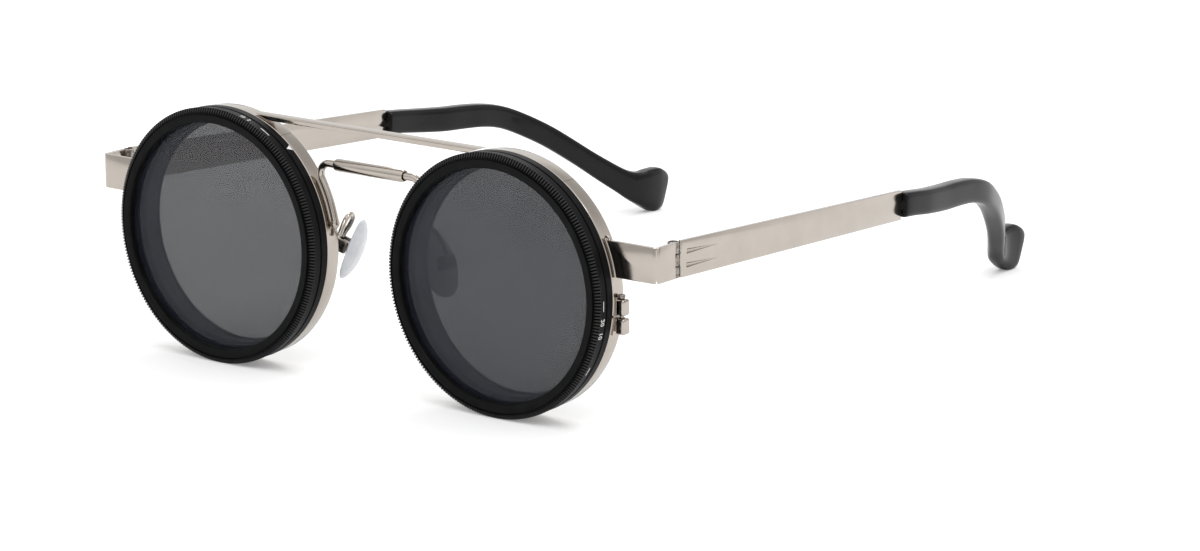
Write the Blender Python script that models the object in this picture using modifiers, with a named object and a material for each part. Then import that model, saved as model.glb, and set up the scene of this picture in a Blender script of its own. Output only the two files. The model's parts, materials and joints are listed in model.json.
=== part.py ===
"""Round metal sunglasses with a turnable dimming filter in front of each rim.

Metres, +Z up. The front faces -Y, the wearer's left is +X, and the temples run towards +Y.
Every piece is first placed in the frame of the front: X = 0 midway between the rims, Y = 0 at the
front plane of the filters, Z = 0 at the height of the ring centres. The root empty then puts the
middle of the footprint at the world origin and the lowest point at Z = 0.
"""
import math

import bmesh
import bpy
from mathutils import Matrix, Vector

# Clearances
GAP = 0.0003
RUNNING_GAP = 0.0002
OVERRUN = 0.001
WELD = 0.000001
SHARP_ANGLE = math.radians(35)

# Layout of the front
NOSE_GAP = 0.0186
RING_STEPS = 40
HIDDEN_STEPS = 24
WIRE_RESOLUTION = 2
ARC_STEPS = 4

# Turning front ring of a filter
KNURL_RADIUS = 0.0254
KNURL_STEP = 0.0002
KNURL_SLOPE_WIDTH = 0.0011
KNURL_SET_BACK = 0.0001
KNURL_SLOPE_DEPTH = 0.0006
KNURL_WIDTH = 0.001
TOOTH_COUNT = 80
TOOTH_DEPTH = 0.00028
TOOTH_OVERRUN = 0.0002
LAND_GROOVE_WIDTH = 0.0003
LAND_GROOVE_DEPTH = 0.00035
LAND_WIDTH = 0.0013
FRONT_BAND_END = 0.00275
LIP_FLARE = 0.0003
SPIGOT_STEP = 0.00145
SPIGOT_END = 0.00415
FRONT_SEAT_DEPTH = 0.0014
FRONT_RECESS_WALL = 0.0008
KEEPER_WIRE = 0.0004
KEEPER_SPLIT = 0.003
KEEPER_BITE = 0.00025
FILTER_TURN = math.radians(95)
STOP_PIN_RADIUS = 0.00025
STOP_PIN_LENGTH = 0.0007
STOP_PIN_SINK = 0.0001
STOP_SLOT_DEPTH = 0.0009
STOP_PIN_ANGLE = math.radians(200)

# Fixed base ring of a filter
BASE_BAND_END = 0.00475
BASE_WEB_FRONT = 0.00435
BASE_SPIGOT_STEP = 0.0021
BASE_SPIGOT_END = 0.0079
REAR_SEAT_DEPTH = 0.0064
REAR_RECESS_WALL = 0.0004
REAR_SEAT_WIDTH = 0.0009

# Glasses and their retainers
GLASS_THICKNESS = 0.0008
RETAINER_THICKNESS = 0.0004
RETAINER_WIDTH = 0.0008

# Silver rim and its closing barrels
RIM_STEP = 0.0002
RIM_END = 0.0083
RIM_EDGE = 0.0002
RIM_SLIT = 0.0005
BARREL_RADIUS = 0.0013
BARREL_HEIGHT = 0.0031
BARREL_SINK = 0.0003
BARREL_STEPS = 12
CLOSING_Z = -0.0031
SHANK_RADIUS = 0.0004
CLOSING_HEAD_RADIUS = 0.0007
HINGE_HEAD_RADIUS = 0.0009
HINGE_HEAD_HEIGHT = 0.0003
HEAD_HEIGHT = 0.0006
SLOT_WIDTH = 0.0003
SLOT_DEPTH = 0.00025

# Bridges
BRIDGE_Y = 0.0067
TOP_BAR_END_INSET = 0.0055
TOP_BAR_DROP = 0.00175
TOP_BAR_HEIGHT = 0.0012
TOP_BAR_DEPTH = 0.0022
TOP_BAR_EDGE = 0.00025
BRIDGE_WIRE_RADIUS = 0.00075
BRIDGE_HEIGHT = 0.0165
BRIDGE_BEND = 0.0022
BRIDGE_FOOT_ANGLE = math.radians(10)
BRIDGE_SLEEVE_HALF_LENGTH = 0.0086
BRIDGE_SLEEVE_WALL = 0.0003
BRIDGE_SLEEVE_EDGE = 0.0001

# Endpieces and hinges
STRAP_REACH = 0.0097
STRAP_FRONT_Y = 0.0056
STRAP_THICKNESS = 0.0009
STRAP_HEIGHT = 0.0068
STRAP_Z = 0.0077
STRAP_BEND = 0.0012
STRAP_ROOT_DEPTH = 0.002
HINGE_Y = 0.012
HINGE_INSET = 0.0011
HINGE_RADIUS = 0.0011
HINGE_BORE = 0.0007
HINGE_HEIGHT = 0.0068
HINGE_OPENING = 0.0013
KNUCKLE_STEPS = 14
RELIEF_WIDTH = 0.0006
RELIEF_HEIGHT = 0.0012

# Temples
BLADE_LENGTH = 0.0756
BLADE_ROOT_HEIGHT = 0.007
BLADE_END_HEIGHT = 0.0059
BLADE_THICKNESS = 0.0009
BLADE_INWARD = 0.0028
BLADE_DROP = 0.0042
TANG_LENGTH = 0.009
TANG_HEIGHT = 0.0018
DART_START = 0.0028
DART_LENGTH = 0.0098
DART_HEIGHT = 0.0009
DART_DEPTH = 0.0004
DART_SPACING = 0.0026
TIP_LENGTH = 0.0709
TIP_INSET = 0.019
TIP_REST = 0.00284
TIP_HEIGHT = 0.0048
TIP_WIDTH = 0.0032
TIP_SIDES = 8
# Along, inward, down, height and width of each section of the sleeve
TIP_SHARES = (
    (0.00, 0.00, 0.00, 0.98, 0.96),
    (0.02, 0.00, 0.00, 1.04, 1.10),
    (0.12, 0.02, 0.035, 1.07, 1.21),
    (0.24, 0.09, 0.07, 1.13, 1.25),
    (0.385, 0.16, 0.10, 1.08, 1.24),
    (0.50, 0.225, 0.18, 1.03, 1.21),
    (0.625, 0.425, 0.365, 1.02, 1.24),
    (0.74, 0.645, 0.60, 1.00, 1.21),
    (0.84, 0.88, 0.81, 1.29, 1.16),
    (0.92, 1.02, 0.88, 2.25, 1.45),
    (0.98, 0.98, 0.98, 2.02, 1.27),
    (1.00, 1.00, 1.00, 1.20, 0.78),
)

# Nose pads, their boxes and arms
PAD_INWARD = 0.0011
PAD_BACK_REACH = 0.0056
PAD_Z = -0.0019
PAD_LENGTH = 0.0128
PAD_WIDTH = 0.0077
PAD_DOME = 0.0013
PAD_BACK = 0.0007
PAD_SPLAY = math.radians(15)
PAD_LEAN = math.radians(16)
PAD_SEGMENTS = 14
PAD_RINGS = 8
PAD_PIVOT_DEPTH = 0.0021
LUG_WIDTH = 0.0011
LUG_HEIGHT = 0.0018
LUG_TAIL = 0.0007
LUG_BORE = 0.0006
PAD_SHANK_RADIUS = 0.00035
PAD_HEAD_RADIUS = 0.0007
PAD_HEAD_HEIGHT = 0.0003
BOX_WIDTH = 0.003
BOX_HEIGHT = 0.0026
BOX_FRONT = 0.0009
BOX_BACK_WALL = 0.0005
BOX_PLAY = 0.0006
ARM_RADIUS = 0.0005
# Route of the arm from the rim to the box: inward, rearward and upward of the box's top
ARM_ROUTE_SHARES = (
    (1.00, 1.00, 0.36),
    (0.98, 0.66, 0.90),
    (0.83, 0.26, 1.00),
    (0.64, 0.02, 0.80),
    (0.31, -0.06, 0.42),
    (0.06, -0.02, 0.14),
    (0.00, 0.00, 0.00),
)
ARM_SEAT_INSET = 0.0007
ARM_RISE = 0.0050
ARM_STEPS = 2

# Radii of the filter rings and the rim, each a step in from the toothed edge
KNURL_INNER_RADIUS = KNURL_RADIUS - KNURL_SLOPE_WIDTH
LAND_RADIUS = KNURL_INNER_RADIUS - LAND_GROOVE_WIDTH
LIP_RADIUS = LAND_RADIUS - LAND_WIDTH - LIP_FLARE
BAND_RADIUS = KNURL_RADIUS - KNURL_STEP
SPIGOT_RADIUS = BAND_RADIUS - SPIGOT_STEP
FRONT_RECESS_RADIUS = SPIGOT_RADIUS - FRONT_RECESS_WALL
BASE_SPIGOT_RADIUS = BAND_RADIUS - BASE_SPIGOT_STEP
REAR_RECESS_RADIUS = BASE_SPIGOT_RADIUS - REAR_RECESS_WALL
APERTURE_RADIUS = REAR_RECESS_RADIUS - REAR_SEAT_WIDTH
RIM_RADIUS = BAND_RADIUS - RIM_STEP

# Places that follow from the rings
RING_SPACING = NOSE_GAP + 2 * KNURL_RADIUS
RIM_INNER_X = RING_SPACING / 2 - RIM_RADIUS
STRAP_OUTER_X = RING_SPACING / 2 + RIM_RADIUS + STRAP_REACH
TOP_BAR_HALF_LENGTH = RING_SPACING / 2 - TOP_BAR_END_INSET
PAD_X = RIM_INNER_X + PAD_INWARD
PAD_Y = RIM_END + PAD_BACK_REACH
TIP_DROP = STRAP_Z + KNURL_RADIUS - BLADE_DROP - TIP_REST

BLACK_METAL = ((0.03, 0.031, 0.033), 0.38, 0.6)
SILVER = ((0.80, 0.77, 0.73), 0.16, 1.0)
DARK_STEEL = ((0.30, 0.29, 0.28), 0.3, 1.0)
GLOSS_BLACK = ((0.018, 0.018, 0.019), 0.18, 0.0)
GREY_GLASS = ((0.09, 0.095, 0.105), 0.05, 0.0)
CLEAR_SILICONE = ((0.82, 0.85, 0.88), 0.25, 0.0)

SIDES = (("left", 1), ("right", -1))


def clear_scene():
    """Remove every object of the open file."""
    for obj in list(bpy.data.objects):
        bpy.data.objects.remove(obj)


def make_collection(name):
    """Return a new collection of the scene."""
    collection = bpy.data.collections.new(name)
    bpy.context.scene.collection.children.link(collection)
    return collection


def make_material(name, finish):
    """Return a plain surface with the given colour, roughness and metallic value."""
    colour, roughness, metallic = finish
    material = bpy.data.materials.new(name)
    material.use_nodes = True
    shader = material.node_tree.nodes["Principled BSDF"]
    shader.inputs["Base Color"].default_value = (*colour, 1)
    shader.inputs["Roughness"].default_value = roughness
    shader.inputs["Metallic"].default_value = metallic
    return material


def add_object(name, data, parent, finish=None, place=Matrix()):
    """Link an object under its parent: a part where a finish is given, and else a cutter."""
    obj = bpy.data.objects.new(name, data)
    obj.parent = parent
    obj.matrix_local = place
    if finish is None:
        CUTTERS.objects.link(obj)
        obj.hide_render = True
        obj.display_type = "WIRE"
    else:
        PARTS.objects.link(obj)
        data.materials.append(make_material(name, finish))
    return obj


def add_axis(name, location, parent, turn=Matrix()):
    """Return an empty that carries pieces at a joint or a ring centre."""
    empty = bpy.data.objects.new(name, None)
    PARTS.objects.link(empty)
    empty.parent = parent
    empty.matrix_local = Matrix.Translation(location) @ turn
    return empty


def mesh_from(bm, name, smooth=True):
    """Turn a bmesh into a mesh with its faces pointing out."""
    bmesh.ops.recalc_face_normals(bm, faces=bm.faces)
    mesh = bpy.data.meshes.new(name)
    bm.to_mesh(mesh)
    bm.free()
    if smooth:
        mesh.shade_smooth()
        mesh.set_sharp_from_angle(angle=SHARP_ANGLE)
    return mesh


def solid_from_curve(curve_object):
    """Return the welded mesh of a curve object and remove the curve."""
    bpy.context.view_layer.update()
    evaluated = curve_object.evaluated_get(bpy.context.evaluated_depsgraph_get())
    mesh = bpy.data.meshes.new_from_object(evaluated)
    bm = bmesh.new()
    bm.from_mesh(mesh)
    bpy.data.meshes.remove(mesh)
    bmesh.ops.remove_doubles(bm, verts=bm.verts, dist=WELD)
    bpy.data.objects.remove(curve_object)
    return mesh_from(bm, "solid")


def poly_curve(points, closed, dimensions):
    """Return a curve with one straight-sided spline through the points."""
    curve = bpy.data.curves.new("route", "CURVE")
    curve.dimensions = dimensions
    spline = curve.splines.new("POLY")
    spline.points.add(len(points) - 1)
    for spline_point, point in zip(spline.points, points):
        spline_point.co = (*Vector(point).to_3d(), 1)
    spline.use_cyclic_u = closed
    return curve


def flat_solid(outline, thickness):
    """Return the mesh of a flat outline, thickened evenly about its own plane."""
    curve = poly_curve(outline, True, "2D")
    curve.fill_mode = "BOTH"
    curve.extrude = thickness / 2
    return solid_from_curve(add_object("outline", curve, None))


def wire_solid(points, radius):
    """Return the mesh of a round wire along the points."""
    curve = poly_curve(points, False, "3D")
    curve.bevel_depth = radius
    curve.bevel_resolution = WIRE_RESOLUTION
    curve.use_fill_caps = True
    return solid_from_curve(add_object("wire", curve, None))


def box_solid(size):
    """Return the mesh of a box about its own centre."""
    bm = bmesh.new()
    bmesh.ops.create_cube(bm, size=1)
    bmesh.ops.scale(bm, vec=Vector(size), verts=bm.verts)
    return mesh_from(bm, "box", smooth=False)


def post_solid(radius, height, steps):
    """Return the mesh of a round post about its own centre, along Z."""
    bm = bmesh.new()
    bmesh.ops.create_cone(
        bm, cap_ends=True, segments=steps, radius1=radius, radius2=radius, depth=height
    )
    return mesh_from(bm, "post")


def turned_part(name, profile, closed, steps, parent, finish=None, place=Matrix()):
    """Revolve a profile of (radius, height) points, listed top to bottom outside, about Z."""
    bm = bmesh.new()
    verts = [bm.verts.new((radius, 0, height)) for radius, height in profile]
    for start, end in zip(verts, verts[1:]):
        bm.edges.new((start, end))
    if closed:
        bm.edges.new((verts[-1], verts[0]))
    mesh = bpy.data.meshes.new(name)
    bm.to_mesh(mesh)
    bm.free()
    obj = add_object(name, mesh, parent, finish, place)
    screw = obj.modifiers.new("revolve", "SCREW")
    screw.axis = "Z"
    screw.steps = steps
    screw.render_steps = steps
    screw.use_merge_vertices = True
    screw.merge_threshold = WELD
    screw.use_smooth_shade = False
    return obj


def ring_part(name, profile, steps, parent, finish=None):
    """Revolve a closed profile of (radius, depth) points about the eye's axis, along Y."""
    heights = [(radius, -depth) for radius, depth in profile]
    return turned_part(name, heights, True, steps, parent, finish, Matrix.Rotation(math.pi / 2, 4, "X"))


def combine(target, operation, name, mesh, place=Matrix()):
    """Cut a solid away from a part, or join it on, by a Boolean modifier."""
    tool = add_object(target.name + "_" + name, mesh, target.parent, place=place)
    use_tool(target, operation, name, tool)


def use_tool(target, operation, name, tool):
    """Add the Boolean modifier that applies a tool to a part."""
    boolean = target.modifiers.new(name, "BOOLEAN")
    boolean.operation = operation
    boolean.object = tool
    boolean.solver = "EXACT"


def arc_points(centre, radius, start, end, steps):
    """Return points along an arc in a plane, both ends among them."""
    points = []
    for step in range(steps + 1):
        angle = start + (end - start) * step / steps
        points.append(Vector(centre) + Vector((radius * math.cos(angle), radius * math.sin(angle))))
    return points


def smooth_route(points, steps):
    """Return a smooth run of points through the given ones (Catmull-Rom)."""
    points = [Vector(point) for point in points]
    padded = [2 * points[0] - points[1], *points, 2 * points[-1] - points[-2]]
    route = []
    for before, start, end, after in zip(padded, padded[1:], padded[2:], padded[3:]):
        for step in range(steps):
            t = step / steps
            bend = 2 * before - 5 * start + 4 * end - after
            swing = 3 * start - before - 3 * end + after
            route.append(start + ((end - before) * t + bend * t * t + swing * t * t * t) / 2)
    route.append(points[-1])
    return route


def front_ring_profile():
    """Return the section of the turning ring: toothed edge, band, spigot and glass seat."""
    knurl_front = KNURL_SET_BACK
    knurl_slope_end = knurl_front + KNURL_SLOPE_DEPTH
    groove_start = SPIGOT_END - keeper_groove_width() - RUNNING_GAP
    groove_end = SPIGOT_END - RUNNING_GAP
    groove_radius = keeper_inner_radius() - RUNNING_GAP
    return [
        (LIP_RADIUS + LIP_FLARE, 0),
        (LAND_RADIUS, 0),
        (LAND_RADIUS, LAND_GROOVE_DEPTH),
        (KNURL_INNER_RADIUS, LAND_GROOVE_DEPTH),
        (KNURL_INNER_RADIUS, knurl_front),
        (KNURL_RADIUS, knurl_slope_end),
        (KNURL_RADIUS, KNURL_WIDTH),
        (BAND_RADIUS, KNURL_WIDTH),
        (BAND_RADIUS, FRONT_BAND_END),
        (SPIGOT_RADIUS, FRONT_BAND_END),
        (SPIGOT_RADIUS, groove_start),
        (groove_radius, groove_start),
        (groove_radius, groove_end),
        (SPIGOT_RADIUS, groove_end),
        (SPIGOT_RADIUS, SPIGOT_END),
        (FRONT_RECESS_RADIUS, SPIGOT_END),
        (FRONT_RECESS_RADIUS, FRONT_SEAT_DEPTH),
        (LIP_RADIUS, FRONT_SEAT_DEPTH),
        (LIP_RADIUS, LAND_GROOVE_DEPTH),
    ]


def keeper_groove_width():
    """Return the width of both grooves that hold the keeper ring."""
    return KEEPER_WIRE + 2 * RUNNING_GAP


def keeper_inner_radius():
    """Return the inner radius of the keeper ring, which bites into the spigot."""
    return SPIGOT_RADIUS - KEEPER_BITE


def base_bore_radius():
    """Return the bore in which the spigot of the front ring turns."""
    return SPIGOT_RADIUS + GAP


def keeper_outer_radius():
    """Return the outer radius of the keeper ring, which bites into the base ring."""
    return base_bore_radius() + KEEPER_BITE


def make_teeth(count, radius_in, depth_in, radius_out, depth_out):
    """Return one mesh of three-sided cutters that lie along the cone of the toothed edge."""
    slope = Vector((radius_out - radius_in, 0, depth_in - depth_out))
    middle = Vector((radius_in + radius_out, 0, -depth_in - depth_out)) / 2
    along = slope.normalized()
    outward = Vector((-along.z, 0, along.x))
    sideways = outward.cross(along)
    turn = Matrix((sideways, outward, along)).transposed().to_4x4()
    bm = bmesh.new()
    for tooth in range(count):
        made = bmesh.ops.create_cone(
            bm, cap_ends=True, segments=3, radius1=TOOTH_DEPTH * 2, radius2=TOOTH_DEPTH * 2,
            depth=slope.length + TOOTH_OVERRUN,
        )
        upright = Matrix.Rotation(math.pi, 4, "Z")
        seat = Matrix.Translation(middle + outward * TOOTH_DEPTH)
        angle = Matrix.Rotation((tooth + 0.5) * math.tau / count, 4, "Z")
        bmesh.ops.transform(bm, matrix=angle @ seat @ turn @ upright, verts=made["verts"])
    return mesh_from(bm, "teeth", smooth=False)


def make_front_ring(side_name, axis):
    """Turn the front ring, cut its teeth and the arc slot of the stop pin."""
    ring = ring_part("front_ring_" + side_name, front_ring_profile(), RING_STEPS, axis, BLACK_METAL)
    teeth = make_teeth(
        TOOTH_COUNT, KNURL_INNER_RADIUS, KNURL_SET_BACK, KNURL_RADIUS,
        KNURL_SET_BACK + KNURL_SLOPE_DEPTH,
    )
    combine(ring, "DIFFERENCE", "teeth", teeth, Matrix.Rotation(math.pi / 2, 4, "X"))
    combine(ring, "DIFFERENCE", "stop_slot", *stop_slot())
    return ring


def stop_pin_circle():
    """Return the radius of the circle on which the stop pin travels."""
    return (base_bore_radius() + BAND_RADIUS) / 2


def stop_slot():
    """Return the arc slot behind the band that gives the filter its turning range."""
    reach = STOP_PIN_RADIUS + RUNNING_GAP
    spread = reach / stop_pin_circle()
    start = STOP_PIN_ANGLE - FILTER_TURN - spread
    end = STOP_PIN_ANGLE + spread
    steps = HIDDEN_STEPS // 3
    outer = arc_points((0, 0), stop_pin_circle() + reach, start, end, steps)
    inner = arc_points((0, 0), stop_pin_circle() - reach, end, start, steps)
    mesh = flat_solid(outer + inner, STOP_SLOT_DEPTH + OVERRUN)
    middle = FRONT_BAND_END + (OVERRUN - STOP_SLOT_DEPTH) / 2
    place = Matrix.Translation((0, middle, 0)) @ Matrix.Rotation(math.pi / 2, 4, "X")
    return mesh, place


def base_ring_profile():
    """Return the section of the fixed ring: band, web, rear spigot and glass seat."""
    bore = base_bore_radius()
    groove_radius = keeper_outer_radius() + RUNNING_GAP
    groove_start = SPIGOT_END - keeper_groove_width() - RUNNING_GAP
    groove_end = SPIGOT_END - RUNNING_GAP
    band_start = FRONT_BAND_END + GAP
    return [
        (BAND_RADIUS, band_start),
        (BAND_RADIUS, BASE_BAND_END),
        (BASE_SPIGOT_RADIUS, BASE_BAND_END),
        (BASE_SPIGOT_RADIUS, BASE_SPIGOT_END),
        (REAR_RECESS_RADIUS, BASE_SPIGOT_END),
        (REAR_RECESS_RADIUS, REAR_SEAT_DEPTH),
        (APERTURE_RADIUS, REAR_SEAT_DEPTH),
        (APERTURE_RADIUS, BASE_WEB_FRONT),
        (bore, BASE_WEB_FRONT),
        (bore, groove_end),
        (groove_radius, groove_end),
        (groove_radius, groove_start),
        (bore, groove_start),
        (bore, band_start),
    ]


def make_base_ring(side_name, axis):
    """Turn the fixed ring and set its stop pin, which stands in the arc slot."""
    ring = ring_part("base_ring_" + side_name, base_ring_profile(), RING_STEPS, axis, BLACK_METAL)
    band_start = FRONT_BAND_END + GAP
    length = STOP_PIN_LENGTH + GAP + STOP_PIN_SINK
    pin = post_solid(STOP_PIN_RADIUS, length, BARREL_STEPS // 2)
    x = stop_pin_circle() * math.cos(STOP_PIN_ANGLE)
    z = stop_pin_circle() * math.sin(STOP_PIN_ANGLE)
    middle = band_start + STOP_PIN_SINK - length / 2
    place = Matrix.Translation((x, middle, z)) @ Matrix.Rotation(math.pi / 2, 4, "X")
    combine(ring, "UNION", "stop_pin", pin, place)
    return ring


def make_glass(name, seat_depth, recess_radius, axis):
    """Turn one flat polarising glass."""
    radius = recess_radius - GAP
    front = seat_depth + RUNNING_GAP
    back = front + GLASS_THICKNESS
    heights = [(0, -front), (radius, -front), (radius, -back), (0, -back)]
    turn = Matrix.Rotation(math.pi / 2, 4, "X")
    return turned_part(name, heights, False, RING_STEPS, axis, GREY_GLASS, turn)


def make_retainer(name, seat_depth, recess_radius, axis):
    """Turn the flat ring that holds a glass in its recess."""
    outer = recess_radius - RUNNING_GAP
    inner = outer - RETAINER_WIDTH
    front = seat_depth + RUNNING_GAP + GLASS_THICKNESS + RUNNING_GAP
    back = front + RETAINER_THICKNESS
    profile = [(outer, front), (outer, back), (inner, back), (inner, front)]
    return ring_part(name, profile, HIDDEN_STEPS, axis, BLACK_METAL)


def make_keeper_ring(side_name, axis):
    """Turn the wire ring between the two filter rings and cut its split."""
    front = SPIGOT_END - 2 * RUNNING_GAP - KEEPER_WIRE
    back = front + KEEPER_WIRE
    inner, outer = keeper_inner_radius(), keeper_outer_radius()
    profile = [(outer, front), (outer, back), (inner, back), (inner, front)]
    ring = ring_part("keeper_ring_" + side_name, profile, RING_STEPS, axis, DARK_STEEL)
    cut = box_solid((KEEPER_SPLIT, KEEPER_WIRE + OVERRUN, outer))
    place = Matrix.Translation((0, front, -outer))
    combine(ring, "DIFFERENCE", "split", cut, place)
    return ring


def closing_axis(side):
    """Return where the closing screw stands, relative to the ring centre."""
    distance = RIM_RADIUS + BARREL_RADIUS - BARREL_SINK
    x = math.sqrt(distance * distance - CLOSING_Z * CLOSING_Z)
    return Vector((side * x, (BASE_BAND_END + RIM_END) / 2, CLOSING_Z))


def make_rim(side_name, side, axis):
    """Turn the silver band, join its closing barrels, then bore and slit them."""
    bore = BASE_SPIGOT_RADIUS + GAP
    start = BASE_BAND_END + GAP
    profile = [
        (RIM_RADIUS, start),
        (RIM_RADIUS, RIM_END - RIM_EDGE),
        (RIM_RADIUS - RIM_EDGE, RIM_END),
        (bore + RIM_EDGE, RIM_END),
        (bore, RIM_END - RIM_EDGE),
        (bore, start),
    ]
    rim = ring_part("rim_" + side_name, profile, RING_STEPS, axis, SILVER)
    centre = closing_axis(side)
    place = Matrix.Translation(centre)
    barrel = post_solid(BARREL_RADIUS, 2 * BARREL_HEIGHT + RIM_SLIT, BARREL_STEPS)
    combine(rim, "UNION", "barrels", barrel, place)
    slit_length = 2 * (RIM_RADIUS - bore) + 2 * BARREL_RADIUS + OVERRUN
    slit = box_solid((slit_length, RIM_END, RIM_SLIT))
    combine(rim, "DIFFERENCE", "slit", slit, place)
    hole = post_solid(SHANK_RADIUS + RUNNING_GAP, 2 * BARREL_HEIGHT + OVERRUN, BARREL_STEPS)
    combine(rim, "DIFFERENCE", "screw_hole", hole, place)
    return rim


def make_screw(name, shank, head, head_height, length, parent, place):
    """Turn a cheese-head screw with a slot: its head stands on Z = 0, its shank hangs below."""
    profile = [
        (0, head_height), (head, head_height), (head, 0), (shank, 0), (shank, -length), (0, -length)
    ]
    screw = turned_part(name, profile, False, BARREL_STEPS, parent, DARK_STEEL, place)
    slot = box_solid((2 * head + OVERRUN, SLOT_WIDTH, 2 * SLOT_DEPTH))
    combine(screw, "DIFFERENCE", "slot", slot, place @ Matrix.Translation((0, 0, head_height)))
    return screw


def make_closing_screw(side_name, side, axis):
    """Place the screw that draws the two closing barrels together."""
    half = BARREL_HEIGHT + RIM_SLIT / 2
    place = Matrix.Translation(closing_axis(side) + Vector((0, 0, half + RUNNING_GAP)))
    name = "closing_screw_" + side_name
    return make_screw(name, SHANK_RADIUS, CLOSING_HEAD_RADIUS, HEAD_HEIGHT, 2 * half, axis, place)


def hinge_x():
    """Return how far the hinge axes lie from the middle."""
    return STRAP_OUTER_X - HINGE_INSET


def knuckle_height():
    """Return the height of one of the three hinge knuckles."""
    return (HINGE_HEIGHT - 2 * RUNNING_GAP) / 3


def make_endpiece(side_name, side, root):
    """Bend the strap from the rim to the hinge, with the two outer knuckles."""
    outer_x, front_y = STRAP_OUTER_X, STRAP_FRONT_Y
    root_x = RING_SPACING / 2 + RIM_RADIUS - STRAP_ROOT_DEPTH
    end_y = HINGE_Y - HINGE_OPENING / 2
    bend_centre = (outer_x - STRAP_BEND, front_y + STRAP_BEND)
    outline = [Vector((root_x, front_y))]
    outline += arc_points(bend_centre, STRAP_BEND, -math.pi / 2, 0, ARC_STEPS)
    outline += [Vector((outer_x, end_y)), Vector((outer_x - STRAP_THICKNESS, end_y))]
    outline += arc_points(bend_centre, STRAP_BEND - STRAP_THICKNESS, 0, -math.pi / 2, ARC_STEPS)
    outline.append(Vector((root_x, front_y + STRAP_THICKNESS)))
    outline = [Vector((side * point.x, point.y)) for point in outline]
    place = Matrix.Translation((0, 0, STRAP_Z))
    strap = add_object("endpiece_" + side_name, flat_solid(outline, STRAP_HEIGHT), root, SILVER, place)
    seat = post_solid(RIM_RADIUS + GAP, 2 * RIM_END, RING_STEPS)
    ring_place = Matrix.Translation((side * RING_SPACING / 2, RIM_END, 0))
    combine(strap, "DIFFERENCE", "rim_seat", seat, ring_place @ Matrix.Rotation(math.pi / 2, 4, "X"))
    relief = flat_solid(
        [(-RELIEF_WIDTH / 2, 0), (RELIEF_WIDTH / 2, 0), (0, RELIEF_HEIGHT)], 4 * STRAP_BEND
    )
    relief_spot = Matrix.Translation((side * outer_x, front_y, STRAP_Z - STRAP_HEIGHT / 2 - RIM_EDGE))
    facing = Matrix.Rotation(side * math.pi / 4, 4, "Z") @ Matrix.Rotation(math.pi / 2, 4, "X")
    combine(strap, "DIFFERENCE", "relief", relief, relief_spot @ facing)
    axis_place = Matrix.Translation((side * hinge_x(), HINGE_Y, STRAP_Z))
    middle_space = knuckle_height() + 2 * RUNNING_GAP
    notch = post_solid(HINGE_RADIUS + GAP, middle_space, KNUCKLE_STEPS)
    combine(strap, "DIFFERENCE", "notch", notch, axis_place)
    rise = (middle_space + knuckle_height()) / 2
    for name, direction in (("upper", 1), ("lower", -1)):
        knuckle_place = axis_place @ Matrix.Translation((0, 0, direction * rise))
        knuckle = post_solid(HINGE_RADIUS, knuckle_height(), KNUCKLE_STEPS)
        combine(strap, "UNION", name + "_knuckle", knuckle, knuckle_place)
    bore = post_solid(HINGE_BORE, STRAP_HEIGHT + OVERRUN, KNUCKLE_STEPS)
    combine(strap, "DIFFERENCE", "bore", bore, axis_place)
    return strap


def make_hinge_screw(side_name, side, root):
    """Place the screw that is the hinge's pin."""
    top = STRAP_Z + HINGE_HEIGHT / 2 + RUNNING_GAP
    place = Matrix.Translation((side * hinge_x(), HINGE_Y, top))
    name = "hinge_screw_" + side_name
    head = (HINGE_HEAD_RADIUS, HINGE_HEAD_HEIGHT)
    return make_screw(name, SHANK_RADIUS, *head, HINGE_HEIGHT, root, place)


def blade_turn(side):
    """Return the turn that lays the blade's long side along the temple."""
    inward = math.atan2(BLADE_INWARD, BLADE_LENGTH)
    drop = math.atan2(BLADE_DROP, BLADE_LENGTH)
    return Matrix.Rotation(side * inward, 4, "Z") @ Matrix.Rotation(-drop, 4, "X")


def blade_start():
    """Return the outer start corner of a blade relative to its hinge axis, for the left side."""
    return Vector((HINGE_INSET - BLADE_THICKNESS / 2, HINGE_OPENING / 2, 0))


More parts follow.
